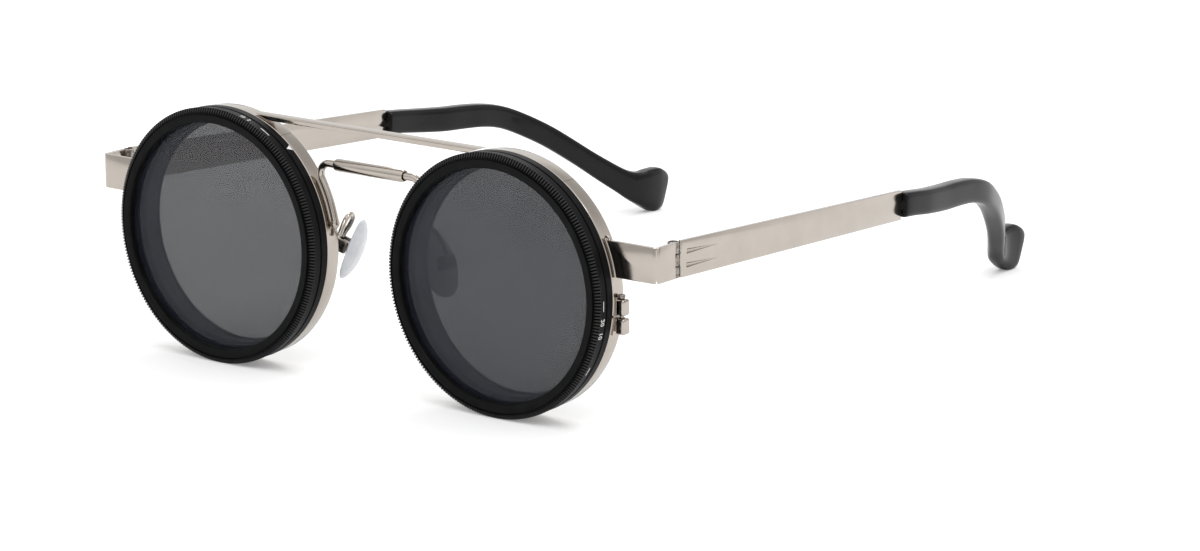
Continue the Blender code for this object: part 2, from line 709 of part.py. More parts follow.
def make_blade(side_name, side, axis):
    """Cut the flat temple with its tang, press its darts and join the middle knuckle."""
    root_half, end_half, tang_half = BLADE_ROOT_HEIGHT / 2, BLADE_END_HEIGHT / 2, TANG_HEIGHT / 2
    end = BLADE_LENGTH + TANG_LENGTH
    outline = [
        (0, -root_half), (BLADE_LENGTH, -end_half), (BLADE_LENGTH, -tang_half), (end, -tang_half),
        (end, tang_half), (BLADE_LENGTH, tang_half), (BLADE_LENGTH, end_half), (0, root_half),
    ]
    start = blade_start()
    start.x *= side
    upright = Matrix.Rotation(math.pi / 2, 4, "Z") @ Matrix.Rotation(math.pi / 2, 4, "X")
    place = Matrix.Translation(start) @ blade_turn(side) @ upright
    mesh = flat_solid(outline, BLADE_THICKNESS)
    blade = add_object("temple_blade_" + side_name, mesh, axis, SILVER, place)
    for name, direction in (("upper", 1), ("lower", -1)):
        middle = direction * DART_SPACING / 2
        dart_end = DART_START + DART_LENGTH
        dart = [
            (DART_START, middle - DART_HEIGHT / 2), (dart_end, middle),
            (DART_START, middle + DART_HEIGHT / 2),
        ]
        sink = Matrix.Translation((0, 0, side * BLADE_THICKNESS / 2))
        combine(blade, "DIFFERENCE", name + "_dart", flat_solid(dart, 2 * DART_DEPTH), place @ sink)
    knuckle = knuckle_height()
    space = (BLADE_ROOT_HEIGHT - knuckle) / 2
    for name, direction in (("upper", 1), ("lower", -1)):
        notch = post_solid(HINGE_RADIUS + GAP, space + OVERRUN, KNUCKLE_STEPS)
        rise = knuckle / 2 + (space + OVERRUN) / 2
        combine(blade, "DIFFERENCE", name + "_notch", notch, Matrix.Translation((0, 0, direction * rise)))
    combine(blade, "UNION", "knuckle", post_solid(HINGE_RADIUS, knuckle, KNUCKLE_STEPS))
    bore = post_solid(HINGE_BORE, knuckle + OVERRUN, KNUCKLE_STEPS)
    combine(blade, "DIFFERENCE", "bore", bore)
    return blade


def make_temple_tip(side_name, side, axis):
    """Loft the black sleeve through its sections, round it and cut the tang's slot."""
    start = blade_start() + Vector((-BLADE_INWARD, BLADE_LENGTH + RUNNING_GAP, -BLADE_DROP))
    centres = []
    for along, inward, down, _, _ in TIP_SHARES:
        offset = Vector((-inward * TIP_INSET, along * TIP_LENGTH, -down * TIP_DROP))
        centres.append(start + offset)
    bm = bmesh.new()
    rings = []
    for index, (centre, section) in enumerate(zip(centres, TIP_SHARES)):
        before = centres[max(index - 1, 0)]
        after = centres[min(index + 1, len(centres) - 1)]
        forward = (after - before).normalized()
        sideways = forward.cross(Vector((0, 0, 1))).normalized()
        upward = sideways.cross(forward)
        turn = Matrix((sideways, upward, forward)).transposed().to_4x4()
        size = Matrix.Diagonal((section[4] * TIP_WIDTH / 2, section[3] * TIP_HEIGHT / 2, 1, 1))
        corner = Matrix.Rotation(math.pi / TIP_SIDES, 4, "Z")
        place = Matrix.Translation(centre) @ turn @ size @ corner
        made = bmesh.ops.create_circle(bm, cap_ends=False, segments=TIP_SIDES, radius=1, matrix=place)
        rings.append({edge for vert in made["verts"] for edge in vert.link_edges})
    for ring, following in zip(rings, rings[1:]):
        bmesh.ops.bridge_loops(bm, edges=list(ring | following))
    for ring in (rings[0], rings[-1]):
        bmesh.ops.contextual_create(bm, geom=list(ring))
    bmesh.ops.scale(bm, vec=Vector((side, 1, 1)), verts=bm.verts)
    name = "temple_tip_" + side_name
    tip = add_object(name, mesh_from(bm, name), axis, GLOSS_BLACK)
    smooth = tip.modifiers.new("soften", "SUBSURF")
    smooth.levels = 1
    smooth.render_levels = 1
    slot_length = TANG_LENGTH + GAP
    slot = box_solid((BLADE_THICKNESS + 2 * GAP, slot_length + OVERRUN, TANG_HEIGHT + 2 * GAP))
    begin = blade_start()
    begin.x *= side
    reach = Matrix.Translation((0, BLADE_LENGTH + (slot_length - OVERRUN) / 2, 0))
    combine(tip, "DIFFERENCE", "tang_slot", slot, Matrix.Translation(begin) @ blade_turn(side) @ reach)
    return tip


def make_top_bar(root):
    """Lay the bar between the rims, just below their tops, and saddle its ends on them."""
    length = 2 * TOP_BAR_HALF_LENGTH
    middle = RIM_RADIUS - TOP_BAR_DROP + TOP_BAR_HEIGHT / 2
    place = Matrix.Translation((0, BRIDGE_Y, middle))
    solid = box_solid((length, TOP_BAR_DEPTH, TOP_BAR_HEIGHT))
    bar = add_object("top_bar", solid, root, SILVER, place)
    edge = bar.modifiers.new("edges", "BEVEL")
    edge.width = TOP_BAR_EDGE
    edge.segments = 1
    edge.limit_method = "ANGLE"
    edge.angle_limit = SHARP_ANGLE
    for side_name, side in SIDES:
        saddle = post_solid(RIM_RADIUS + GAP, 2 * RIM_END, RING_STEPS)
        spot = Matrix.Translation((side * RING_SPACING / 2, BRIDGE_Y, 0))
        place = spot @ Matrix.Rotation(math.pi / 2, 4, "X")
        combine(bar, "DIFFERENCE", "saddle_" + side_name, saddle, place)
    return bar


def bridge_route():
    """Return half of the lower bridge's route as (x, z), from the foot on the rim to the middle."""
    along_rim = RIM_RADIUS + GAP + BRIDGE_WIRE_RADIUS
    centre_x = RING_SPACING / 2
    straight = BRIDGE_HEIGHT - BRIDGE_BEND
    bend_x = centre_x - math.sqrt((along_rim + BRIDGE_BEND) ** 2 - straight * straight)
    leave = math.asin(straight / (along_rim + BRIDGE_BEND))
    foot = arc_points((centre_x, 0), along_rim, math.pi - BRIDGE_FOOT_ANGLE, math.pi - leave, ARC_STEPS)
    corner = arc_points((bend_x, straight), BRIDGE_BEND, -leave, math.pi / 2, 2 * ARC_STEPS)
    return foot + corner[1:]


def make_bridge_wire(root):
    """Bend the lower bridge: up one rim, across, and down the other."""
    half = bridge_route()
    right = [Vector((-point.x, point.y)) for point in reversed(half)]
    points = [(point.x, BRIDGE_Y, point.y) for point in half + right]
    return add_object("bridge_wire", wire_solid(points, BRIDGE_WIRE_RADIUS), root, SILVER)


def make_bridge_sleeve(root):
    """Turn the tube that sits on the middle of the bridge wire."""
    inner = BRIDGE_WIRE_RADIUS + RUNNING_GAP
    outer = inner + BRIDGE_SLEEVE_WALL
    half, edge = BRIDGE_SLEEVE_HALF_LENGTH, BRIDGE_SLEEVE_EDGE
    profile = [
        (outer - edge, half), (outer, half - edge), (outer, edge - half), (outer - edge, -half),
        (inner, -half), (inner, half),
    ]
    place = Matrix.Translation((0, BRIDGE_Y, BRIDGE_HEIGHT)) @ Matrix.Rotation(math.pi / 2, 4, "Y")
    return turned_part("bridge_sleeve", profile, True, BARREL_STEPS, root, SILVER, place)


def pad_axis_place(side):
    """Return the pad's own frame: X across the pad, Y up its length, Z towards the nose."""
    toward_nose = Vector((-side * math.cos(PAD_SPLAY), math.sin(PAD_SPLAY), 0))
    across = Vector((side * math.sin(PAD_SPLAY), math.cos(PAD_SPLAY), 0))
    lean = Matrix.Rotation(-side * PAD_LEAN, 4, across)
    upward = lean @ Vector((0, 0, 1))
    toward_nose = lean @ toward_nose
    across = upward.cross(toward_nose)
    turn = Matrix((across, upward, toward_nose)).transposed()
    centre = Vector((side * PAD_X, PAD_Y, PAD_Z))
    return Matrix.Translation(centre - toward_nose * PAD_PIVOT_DEPTH) @ turn.to_4x4()


def make_nose_pad(side_name, axis):
    """Model the domed soft pad, joined with its lug, which is bored for the screw."""
    bm = bmesh.new()
    bmesh.ops.create_uvsphere(bm, u_segments=PAD_SEGMENTS, v_segments=PAD_RINGS, radius=1)
    for vert in bm.verts:
        vert.co.z *= PAD_DOME if vert.co.z > 0 else PAD_BACK
    bmesh.ops.scale(bm, vec=Vector((PAD_WIDTH / 2, PAD_LENGTH / 2, 1)), verts=bm.verts)
    name = "nose_pad_" + side_name
    place = Matrix.Translation((0, 0, PAD_PIVOT_DEPTH))
    pad = add_object(name, mesh_from(bm, name), axis, CLEAR_SILICONE, place)
    length = LUG_TAIL + PAD_PIVOT_DEPTH
    lug_place = Matrix.Translation((0, 0, length / 2 - LUG_TAIL))
    combine(pad, "UNION", "lug", box_solid((LUG_WIDTH, LUG_HEIGHT, length)), lug_place)
    bore = post_solid(LUG_BORE, LUG_WIDTH + OVERRUN, BARREL_STEPS)
    combine(pad, "DIFFERENCE", "bore", bore, Matrix.Rotation(math.pi / 2, 4, "Y"))
    return pad


def box_back():
    """Return how far the clip box reaches behind the pad's screw."""
    corner = math.hypot(LUG_TAIL, LUG_HEIGHT / 2)
    return corner + RUNNING_GAP + BOX_BACK_WALL


def make_pad_box(side_name, axis):
    """Cut the channel for the lug and the screw's holes in the clip box."""
    depth = BOX_FRONT + box_back()
    place = Matrix.Translation((0, 0, (BOX_FRONT - box_back()) / 2))
    name = "pad_box_" + side_name
    box = add_object(name, box_solid((BOX_WIDTH, BOX_HEIGHT, depth)), axis, DARK_STEEL, place)
    channel_depth = depth - BOX_BACK_WALL + OVERRUN
    channel = box_solid((LUG_WIDTH + BOX_PLAY, BOX_HEIGHT + OVERRUN, channel_depth))
    channel_z = BOX_FRONT + OVERRUN - channel_depth / 2
    combine(box, "DIFFERENCE", "channel", channel, Matrix.Translation((0, 0, channel_z)))
    hole = post_solid(PAD_SHANK_RADIUS + RUNNING_GAP, BOX_WIDTH + OVERRUN, BARREL_STEPS)
    combine(box, "DIFFERENCE", "holes", hole, Matrix.Rotation(math.pi / 2, 4, "Y"))
    return box


def make_pad_screw(side_name, side, axis):
    """Place the cross screw of the clip box, its head towards the front."""
    turn = Matrix.Rotation(-side * math.pi / 2, 4, "Y")
    place = turn @ Matrix.Translation((0, 0, BOX_WIDTH / 2 + RUNNING_GAP))
    name = "pad_screw_" + side_name
    return make_screw(name, PAD_SHANK_RADIUS, PAD_HEAD_RADIUS, PAD_HEAD_HEIGHT, BOX_WIDTH, axis, place)


def make_pad_arm(side_name, side, root):
    """Bend the arm from the rim's side up, back and down to the top of the clip box."""
    box_top = pad_axis_place(side) @ Vector((0, BOX_HEIGHT / 2 + GAP, -box_back() / 2))
    seat_x = side * (RIM_INNER_X - GAP - ARM_RADIUS)
    inward_reach = box_top.x - seat_x
    forward_reach = box_top.y - RIM_END + ARM_SEAT_INSET
    points = []
    for inward, forward, up in ARM_ROUTE_SHARES:
        offset = Vector((-inward * inward_reach, -forward * forward_reach, up * ARM_RISE))
        points.append(box_top + offset)
    route = smooth_route(points, ARM_STEPS)
    return add_object("pad_arm_" + side_name, wire_solid(route, ARM_RADIUS), root, SILVER)


def make_filter(side_name, side, root):
    """Build one dimming filter: fixed ring, turning ring, glasses and small rings."""
    centre = (side * RING_SPACING / 2, 0, 0)
    fixed = add_axis("eye_centre_" + side_name, centre, root)
    turning = add_axis("filter_axis_" + side_name, centre, root)
    make_front_ring(side_name, turning)
    make_glass("front_lens_" + side_name, FRONT_SEAT_DEPTH, FRONT_RECESS_RADIUS, turning)
    make_retainer("front_retainer_" + side_name, FRONT_SEAT_DEPTH, FRONT_RECESS_RADIUS, turning)
    make_base_ring(side_name, fixed)
    make_keeper_ring(side_name, fixed)
    make_glass("rear_lens_" + side_name, REAR_SEAT_DEPTH, REAR_RECESS_RADIUS, fixed)
    make_retainer("rear_retainer_" + side_name, REAR_SEAT_DEPTH, REAR_RECESS_RADIUS, fixed)
    make_rim(side_name, side, fixed)
    make_closing_screw(side_name, side, fixed)


def make_temple(side_name, side, root):
    """Build one endpiece, hinge and temple."""
    make_endpiece(side_name, side, root)
    make_hinge_screw(side_name, side, root)
    axis = add_axis("hinge_axis_" + side_name, (side * hinge_x(), HINGE_Y, STRAP_Z), root)
    make_blade(side_name, side, axis)
    make_temple_tip(side_name, side, axis)


def make_pad(side_name, side, root):
    """Build one nose pad with its box, screw and arm."""
    place = pad_axis_place(side)
    axis = add_axis("pad_axis_" + side_name, place.to_translation(), root, place.to_3x3().to_4x4())
    make_nose_pad(side_name, axis)
    make_pad_box(side_name, axis)
    make_pad_screw(side_name, side, axis)
    make_pad_arm(side_name, side, root)


def settle(root):
    """Move the root so that the footprint is centred and the lowest point is at Z = 0."""
    bpy.context.view_layer.update()
    graph = bpy.context.evaluated_depsgraph_get()
    corners = []
    for obj in PARTS.objects:
        if obj.type != "MESH":
            continue
        evaluated = obj.evaluated_get(graph)
        mesh = evaluated.to_mesh()
        corners += [obj.matrix_world @ vert.co for vert in mesh.vertices]
        evaluated.to_mesh_clear()
    low = Vector([min(corner[axis] for corner in corners) for axis in range(3)])
    high = Vector([max(corner[axis] for corner in corners) for axis in range(3)])
    root.location = (-(low.x + high.x) / 2, -(low.y + high.y) / 2, -low.z)
    bpy.context.view_layer.update()


def main():
    """Build the whole part."""
    root = add_axis("sunglasses_root", (0, 0, 0), None)
    make_top_bar(root)
    make_bridge_wire(root)
    make_bridge_sleeve(root)
    for side_name, side in SIDES:
        make_filter(side_name, side, root)
        make_temple(side_name, side, root)
        make_pad(side_name, side, root)
    settle(root)


clear_scene()
PARTS = make_collection("sunglasses")
CUTTERS = make_collection("cutters")
main()
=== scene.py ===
"""Looks of round metal sunglasses with toothed turning filters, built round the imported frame."""

import json
import logging
import math
from dataclasses import dataclass, field
from enum import Enum
from typing import Optional, Sequence, Union

import bmesh
import bpy
from bmesh.types import BMesh
from mathutils import Matrix, Vector


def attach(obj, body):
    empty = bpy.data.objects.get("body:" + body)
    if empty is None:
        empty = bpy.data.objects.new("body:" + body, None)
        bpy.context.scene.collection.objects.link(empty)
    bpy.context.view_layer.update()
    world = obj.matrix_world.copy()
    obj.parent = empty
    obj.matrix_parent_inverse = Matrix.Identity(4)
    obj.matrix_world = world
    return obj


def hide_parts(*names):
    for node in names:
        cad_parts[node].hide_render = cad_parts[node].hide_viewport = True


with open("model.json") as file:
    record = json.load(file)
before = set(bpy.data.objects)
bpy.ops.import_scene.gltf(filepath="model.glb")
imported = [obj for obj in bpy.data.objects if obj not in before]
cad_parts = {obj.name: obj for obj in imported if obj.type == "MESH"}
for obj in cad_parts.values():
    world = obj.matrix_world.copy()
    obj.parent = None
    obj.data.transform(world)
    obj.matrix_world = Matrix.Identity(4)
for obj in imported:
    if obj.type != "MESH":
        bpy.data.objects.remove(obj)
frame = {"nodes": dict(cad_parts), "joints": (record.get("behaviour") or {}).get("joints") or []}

LOG = logging.getLogger("sunglasses")
MM = 0.001
TURN = math.tau
QUARTER = math.pi / 2
# In millimetres: the rims' outer radius and back, how far other pieces stand off that radius,
# and the middle of the left hinge
RIM_RADIUS = 25.0
RIM_BACK = 8.3
SEAT_GAP = 0.3
HINGE = (68.3, 12.0, 7.7)
Point = Sequence[float]
Number = Union[float, "Signal"]


def at(x: float, y: float, z: float) -> Matrix:
    """Return the move to a point."""
    return Matrix.Translation((x, y, z))


def rolled(axis: str, angle: float = QUARTER) -> Matrix:
    """Return a turn about a main axis, a quarter where no angle is given."""
    return Matrix.Rotation(angle, 4, axis)


def basis(across: Vector, upward: Vector, toward: Vector) -> Matrix:
    """Return the turn that lays X, Y and Z along three directions."""
    return Matrix((across, upward, toward)).transposed().to_4x4()


class Side(Enum):
    """The two sides of the front, seen by the wearer, with the sign of their X."""

    LEFT = 1
    RIGHT = -1

    def named(self, part: str) -> str:
        """Return the part's name with the side added."""
        return f"{part}_{self.name.lower()}"


class Cut(Enum):
    """How a tool solid changes a piece."""

    AWAY = "DIFFERENCE"
    JOINED = "UNION"


class Signal:
    """A shader socket with arithmetic, in which each step adds one Math node."""

    def __init__(self, graph: "Graph", socket: bpy.types.NodeSocket) -> None:
        """Keep the socket and the graph that it belongs to."""
        self.graph = graph
        self.socket = socket

    def _step(self, operation: str, *values: Number) -> "Signal":
        """Return the result of one Math node."""
        inputs = dict(enumerate(values))
        return self.graph.out("ShaderNodeMath", {"operation": operation}, inputs)

    def __add__(self, other: Number) -> "Signal":
        """Return self + other."""
        return self._step("ADD", self, other)

    def __radd__(self, other: Number) -> "Signal":
        """Return other + self."""
        return self._step("ADD", other, self)

    def __sub__(self, other: Number) -> "Signal":
        """Return self - other."""
        return self._step("SUBTRACT", self, other)

    def __rsub__(self, other: Number) -> "Signal":
        """Return other - self."""
        return self._step("SUBTRACT", other, self)

    def __mul__(self, other: Number) -> "Signal":
        """Return self * other."""
        return self._step("MULTIPLY", self, other)

    def __rmul__(self, other: Number) -> "Signal":
        """Return other * self."""
        return self._step("MULTIPLY", other, self)

    def larger(self, other: Number) -> "Signal":
        """Return the larger of two values."""
        return self._step("MAXIMUM", self, other)

    def between(self, low: float, high: float) -> "Signal":
        """Return a smooth rise from 0 at low to 1 at high."""
        settings = {"interpolation_type": "SMOOTHSTEP", "clamp": True}
        inputs = {"Value": self, "From Min": low, "From Max": high}
        return self.graph.out("ShaderNodeMapRange", settings, inputs)


class Graph:
    """The node tree of one material or of the world."""

    def __init__(self, tree: bpy.types.NodeTree) -> None:
        """Empty the tree and keep it."""
        self.tree = tree
        tree.nodes.clear()

    def node(self, kind: str, settings: Optional[dict] = None,
             inputs: Optional[dict] = None) -> bpy.types.Node:
        """Add a node.

        Args:
            kind: the node's type name.
            settings: its own settings, which are set first.
            inputs: values or signals by the socket's name or number.

        Returns:
            The new node.
        """
        node = self.tree.nodes.new(kind)
        for key, value in (settings or {}).items():
            setattr(node, key, value)
        for key, value in (inputs or {}).items():
            self.feed(node.inputs[key], value)
        return node

    def out(self, kind: str, settings: Optional[dict] = None, inputs: Optional[dict] = None,
            output: Union[int, str] = 0) -> Signal:
        """Add a node and return one of its outputs as a signal."""
        return Signal(self, self.node(kind, settings, inputs).outputs[output])

    def feed(self, socket: bpy.types.NodeSocket, value: object) -> None:
        """Give a socket a link, a number, a vector or a colour."""
        if isinstance(value, Signal):
            self.tree.links.new(value.socket, socket)
        elif socket.type == "RGBA" and len(value) == 3:
            socket.default_value = (*value, 1.0)
        else:
            socket.default_value = value

    def millimetres(self) -> Signal:
        """Return the place on the piece in millimetres."""
        place = self.out("ShaderNodeTexCoord", output="Object")
        return self.out("ShaderNodeVectorMath", {"operation": "SCALE"}, {0: place, "Scale": 1 / MM})

    def axes(self, vector: Signal) -> tuple[Signal, Signal, Signal]:
        """Return the three numbers of a vector."""
        parts = self.node("ShaderNodeSeparateXYZ", inputs={0: vector})
        return tuple(Signal(self, socket) for socket in parts.outputs)

    def rays(self) -> tuple[Signal, Signal]:
        """Return 1 for rays that the eye sees, also through glass, and 1 for mirrored rays."""
        outputs = self.node("ShaderNodeLightPath").outputs
        direct, through, mirrored = (
            Signal(self, outputs[f"Is {kind} Ray"]) for kind in ("Camera", "Transmission", "Glossy")
        )
        return direct.larger(through), mirrored

    def carried(self, name: str) -> Signal:
        """Return a value that the mesh carries at its corners, or 0 where it carries none."""
        return self.out("ShaderNodeAttribute", {"attribute_name": name}, output="Fac")

    def noise(self, vector: Signal, scale: float, detail: float = 2.0,
              rough: float = 0.5) -> Signal:
        """Return a cloudy value between 0 and 1."""
        inputs = {"Vector": vector, "Scale": scale, "Detail": detail, "Roughness": rough}
        return self.out("ShaderNodeTexNoise", inputs=inputs)

    def stretched(self, vector: Signal, factors: Point) -> Signal:
        """Return the vector with each axis multiplied."""
        inputs = {0: vector, 1: tuple(factors)}
        return self.out("ShaderNodeVectorMath", {"operation": "MULTIPLY"}, inputs)

    def mix(self, factor: Number, first: object, second: object) -> Signal:
        """Return the blend of two colours."""
        settings = {"data_type": "RGBA"}
        return self.out("ShaderNodeMix", settings, {0: factor, 6: first, 7: second}, output=2)

    def bump(self, height: Signal, strength: float, depth_mm: float) -> Signal:
        """Return a normal raised by the height."""
        inputs = {"Strength": strength, "Distance": depth_mm * MM, "Height": height}
        return self.out("ShaderNodeBump", inputs=inputs)

    def principled(self, inputs: dict) -> Signal:
        """Return the main surface shader."""
        return self.out("ShaderNodeBsdfPrincipled", inputs=inputs)

    def finish(self, shader: Signal) -> None:
        """Link the shader to the material's output."""
        self.node("ShaderNodeOutputMaterial", inputs={"Surface": shader})


@dataclass(frozen=True)
class Finish:
    """What all finishes share: a name, and the slot of the record that they stand for."""

    name: str
    slot: Optional[str] = None

    def material(self) -> bpy.types.Material:
        """Return the finish's material, made at its first use."""
        found = bpy.data.materials.get(self.name)
        if found is None:
            found = bpy.data.materials.new(self.name)
            found.use_nodes = True
            self.paint(Graph(found.node_tree))
        return found

    def paint(self, graph: Graph) -> None:
        """Build the node tree."""
        raise NotImplementedError


@dataclass(frozen=True)
class PolishedMetal(Finish):
    """Bright plated metal with a faint cloudy tone and fine polishing lines."""

    tone: Point = (0.515, 0.468, 0.419)
    worn_tone: Point = (0.445, 0.397, 0.349)
    cloud_scale: float = 0.22
    line_scale: float = 9.0
    line_stretch: Point = (1.0, 0.25, 1.0)
    line_strength: float = 0.35
    line_depth_mm: float = 0.004
    spot_scale: float = 2.6
    spot_range: Point = (0.62, 0.78)
    spot_wear: float = 0.25
    roughness: float = 0.1
    line_roughness: float = 0.06
    spot_roughness: float = 0.05

    def paint(self, graph: Graph) -> None:
        """Build the node tree."""
        place = graph.millimetres()
        cloud = graph.noise(place, self.cloud_scale, 3.0)
        lines = graph.noise(graph.stretched(place, self.line_stretch), self.line_scale, 4.0, 0.6)
        spots = graph.noise(place, self.spot_scale, 2.0).between(*self.spot_range)
        wear = (cloud - 0.35) * 1.2 + spots * self.spot_wear
        colour = graph.mix(wear, self.tone, self.worn_tone)
        roughness = self.roughness + lines * self.line_roughness + spots * self.spot_roughness
        shader = graph.principled({
            "Base Color": colour, "Metallic": 1.0, "Roughness": roughness,
            "Normal": graph.bump(lines, self.line_strength, self.line_depth_mm),
        })
        graph.finish(shader)


@dataclass(frozen=True)
class BlackAnodised(Finish):
    """Fine-blasted black metal, with a painted highlight that lightens the crests of the teeth, and
    painted shade that darkens the gaps.
    """

    tone: Point = (0.0035, 0.0036, 0.0039)
    dusty_tone: Point = (0.006, 0.0062, 0.0066)
    # Colour of the painted highlight on the crests of the teeth
    crest_highlight_tone: Point = (0.035, 0.035, 0.036)
    # Colour of the painted shade in the gaps between the teeth
    gap_shade_tone: Point = (0.001, 0.001, 0.001)
    blast_scale: float = 5.5
    line_stretch: Point = (0.05, 9.0, 0.05)
    cloud_scale: float = 0.35
    specular: float = 0.08
    roughness: float = 0.34
    blast_roughness: float = 0.14
    cloud_roughness: float = 0.1
    gap_roughness: float = 0.3
    relief_strength: float = 0.35
    relief_depth_mm: float = 0.012

    def paint(self, graph: Graph) -> None:
        """Build the node tree."""
        place = graph.millimetres()
        blast = graph.noise(place, self.blast_scale, 3.0, 0.6)
        lines = graph.noise(graph.stretched(place, self.line_stretch), 1.0, 2.0)
        cloud = graph.noise(place, self.cloud_scale, 3.0)
        colour = graph.mix(cloud.between(0.4, 0.75), self.tone, self.dusty_tone)
        # Painted highlight: the crests of the teeth are painted lighter than the black
        colour = graph.mix(graph.carried("crest"), colour, self.crest_highlight_tone)
        # Painted shade: the gaps between the teeth are painted darker; they are also made rougher
        gap = graph.carried("gap")
        colour = graph.mix(gap, colour, self.gap_shade_tone)
        roughness = self.roughness + blast * self.blast_roughness
        roughness = roughness + (cloud - 0.5) * self.cloud_roughness + gap * self.gap_roughness
        height = blast * 0.8 + lines * 0.35
        shader = graph.principled({
            "Base Color": colour, "Roughness": roughness, "Specular IOR Level": self.specular,
            "Normal": graph.bump(height, self.relief_strength, self.relief_depth_mm),
        })
        graph.finish(shader)


@dataclass(frozen=True)
class DarkSteel(Finish):
    """Tumbled grey steel of the small screws and the clip boxes."""

    tone: Point = (0.40, 0.37, 0.335)
    dark_tone: Point = (0.16, 0.14, 0.12)
    cloud_scale: float = 1.7
    grain_scale: float = 14.0
    grain_strength: float = 0.4
    grain_depth_mm: float = 0.01
    roughness: float = 0.24
    grain_roughness: float = 0.16

    def paint(self, graph: Graph) -> None:
        """Build the node tree."""
        place = graph.millimetres()
        cloud = graph.noise(place, self.cloud_scale, 4.0)
        grain = graph.noise(place, self.grain_scale, 3.0, 0.6)
        colour = graph.mix(cloud.between(0.35, 0.7), self.tone, self.dark_tone)
        roughness = self.roughness + grain * self.grain_roughness
        shader = graph.principled({
            "Base Color": colour, "Metallic": 1.0, "Roughness": roughness,
            "Normal": graph.bump(grain, self.grain_strength, self.grain_depth_mm),
        })
        graph.finish(shader)


@dataclass(frozen=True)
class GlossBlack(Finish):
    """Moulded black acetate, glossy, with slow waves and fine handling marks."""

    tone: Point = (0.004, 0.0041, 0.0045)
    soft_tone: Point = (0.007, 0.0071, 0.0076)
    wave_scale: float = 0.16
    mark_scale: float = 4.5
    mark_stretch: Point = (1.0, 0.3, 1.0)
    mark_strength: float = 0.12
    mark_depth_mm: float = 0.02
    specular: float = 0.24
    roughness: float = 0.13
    mark_roughness: float = 0.1
    wave_roughness: float = 0.05

    def paint(self, graph: Graph) -> None:
        """Build the node tree."""
        place = graph.millimetres()
        wave = graph.noise(place, self.wave_scale, 2.0)
        marks = graph.noise(graph.stretched(place, self.mark_stretch), self.mark_scale, 4.0, 0.65)
        colour = graph.mix(wave.between(0.35, 0.7), self.tone, self.soft_tone)
        roughness = self.roughness + marks * self.mark_roughness
        shader = graph.principled({
            "Base Color": colour, "Roughness": roughness + (wave - 0.5) * self.wave_roughness,
            "Specular IOR Level": self.specular,
            "Normal": graph.bump(marks, self.mark_strength, self.mark_depth_mm),
        })
        graph.finish(shader)


@dataclass(frozen=True)
class SmokedGlass(Finish):
    """Grey polarising glass, see-through without bending the view, with a faint film on it."""

    tone: Point = (0.018, 0.0215, 0.031)
    film_tone: Point = (0.024, 0.028, 0.039)
    film_scale: float = 0.12
    film_cover: float = 0.02
    cover: float = 0.54
    specular: float = 0.4
    roughness: float = 0.03

    def paint(self, graph: Graph) -> None:
        """Build the node tree."""
        film = graph.noise(graph.millimetres(), self.film_scale, 3.0)
        colour = graph.mix(film.between(0.3, 0.7), self.tone, self.film_tone)
        graph.finish(graph.principled({
            "Base Color": colour, "Roughness": self.roughness, "Specular IOR Level": self.specular,
            "Alpha": self.cover + film * self.film_cover,
        }))


@dataclass(frozen=True)
class ClearSilicone(Finish):
    """Milky clear silicone with a smooth skin."""

    tone: Point = (0.87, 0.885, 0.915)
    cloudy_tone: Point = (0.78, 0.80, 0.84)
    cloud_scale: float = 0.5
    skin_scale: float = 6.0
    skin_strength: float = 0.12
    skin_depth_mm: float = 0.02
    roughness: float = 0.05
    skin_roughness: float = 0.08
    transmission: float = 0.28
    ior: float = 1.5

    def paint(self, graph: Graph) -> None:
        """Build the node tree."""
        place = graph.millimetres()
        cloud = graph.noise(place, self.cloud_scale, 3.0)
        skin = graph.noise(place, self.skin_scale, 3.0)
        colour = graph.mix(cloud.between(0.35, 0.7), self.tone, self.cloudy_tone)
        shader = graph.principled({
            "Base Color": colour, "Roughness": self.roughness + skin * self.skin_roughness,
            "Transmission Weight": self.transmission, "IOR": self.ior,
            "Normal": graph.bump(skin, self.skin_strength, self.skin_depth_mm),
        })
        graph.finish(shader)


@dataclass(frozen=True)
class WhiteInk(Finish):
    """Thin printed ink, a little uneven."""

    tone: Point = (0.84, 0.84, 0.82)
    thin_tone: Point = (0.55, 0.55, 0.54)
    cover_scale: float = 5.0
    roughness: float = 0.5
    cover_roughness: float = 0.2

    def paint(self, graph: Graph) -> None:
        """Build the node tree."""
        cover = graph.noise(graph.millimetres(), self.cover_scale, 3.0)
        colour = graph.mix(cover.between(0.5, 0.8), self.tone, self.thin_tone)
        roughness = self.roughness + cover * self.cover_roughness
        graph.finish(graph.principled({"Base Color": colour, "Roughness": roughness}))


@dataclass(frozen=True)
class PaleFloor(Finish):
    """Plain white table that keeps shadows, and that the eye sees a little brighter."""

    tone: Point = (0.9, 0.9, 0.9)
    roughness: float = 0.9
    lift: float = 0.2

    def paint(self, graph: Graph) -> None:
        """Build the node tree."""
        seen, _ = graph.rays()
        base = graph.principled({
            "Base Color": self.tone, "Roughness": self.roughness, "Specular IOR Level": 0.0,
        })
        inputs = {"Color": (1, 1, 1), "Strength": seen * self.lift}
        glow = graph.out("ShaderNodeEmission", inputs=inputs)
        graph.finish(graph.out("ShaderNodeAddShader", inputs={0: base, 1: glow}))


SILVER = PolishedMetal("polished_silver", "silver")
BLACK = BlackAnodised("black_anodised", "black_metal")
STEEL = DarkSteel("tumbled_steel", "dark_steel")
ACETATE = GlossBlack("gloss_black_acetate", "gloss_black")
GLASS = SmokedGlass("smoked_glass", "grey_glass")
TURNED_GLASS = SmokedGlass("smoked_glass_turned_lighter", "grey_glass", cover=0.465)
SILICONE = ClearSilicone("clear_silicone_skin", "clear_silicone")
INK = WhiteInk("white_ink")


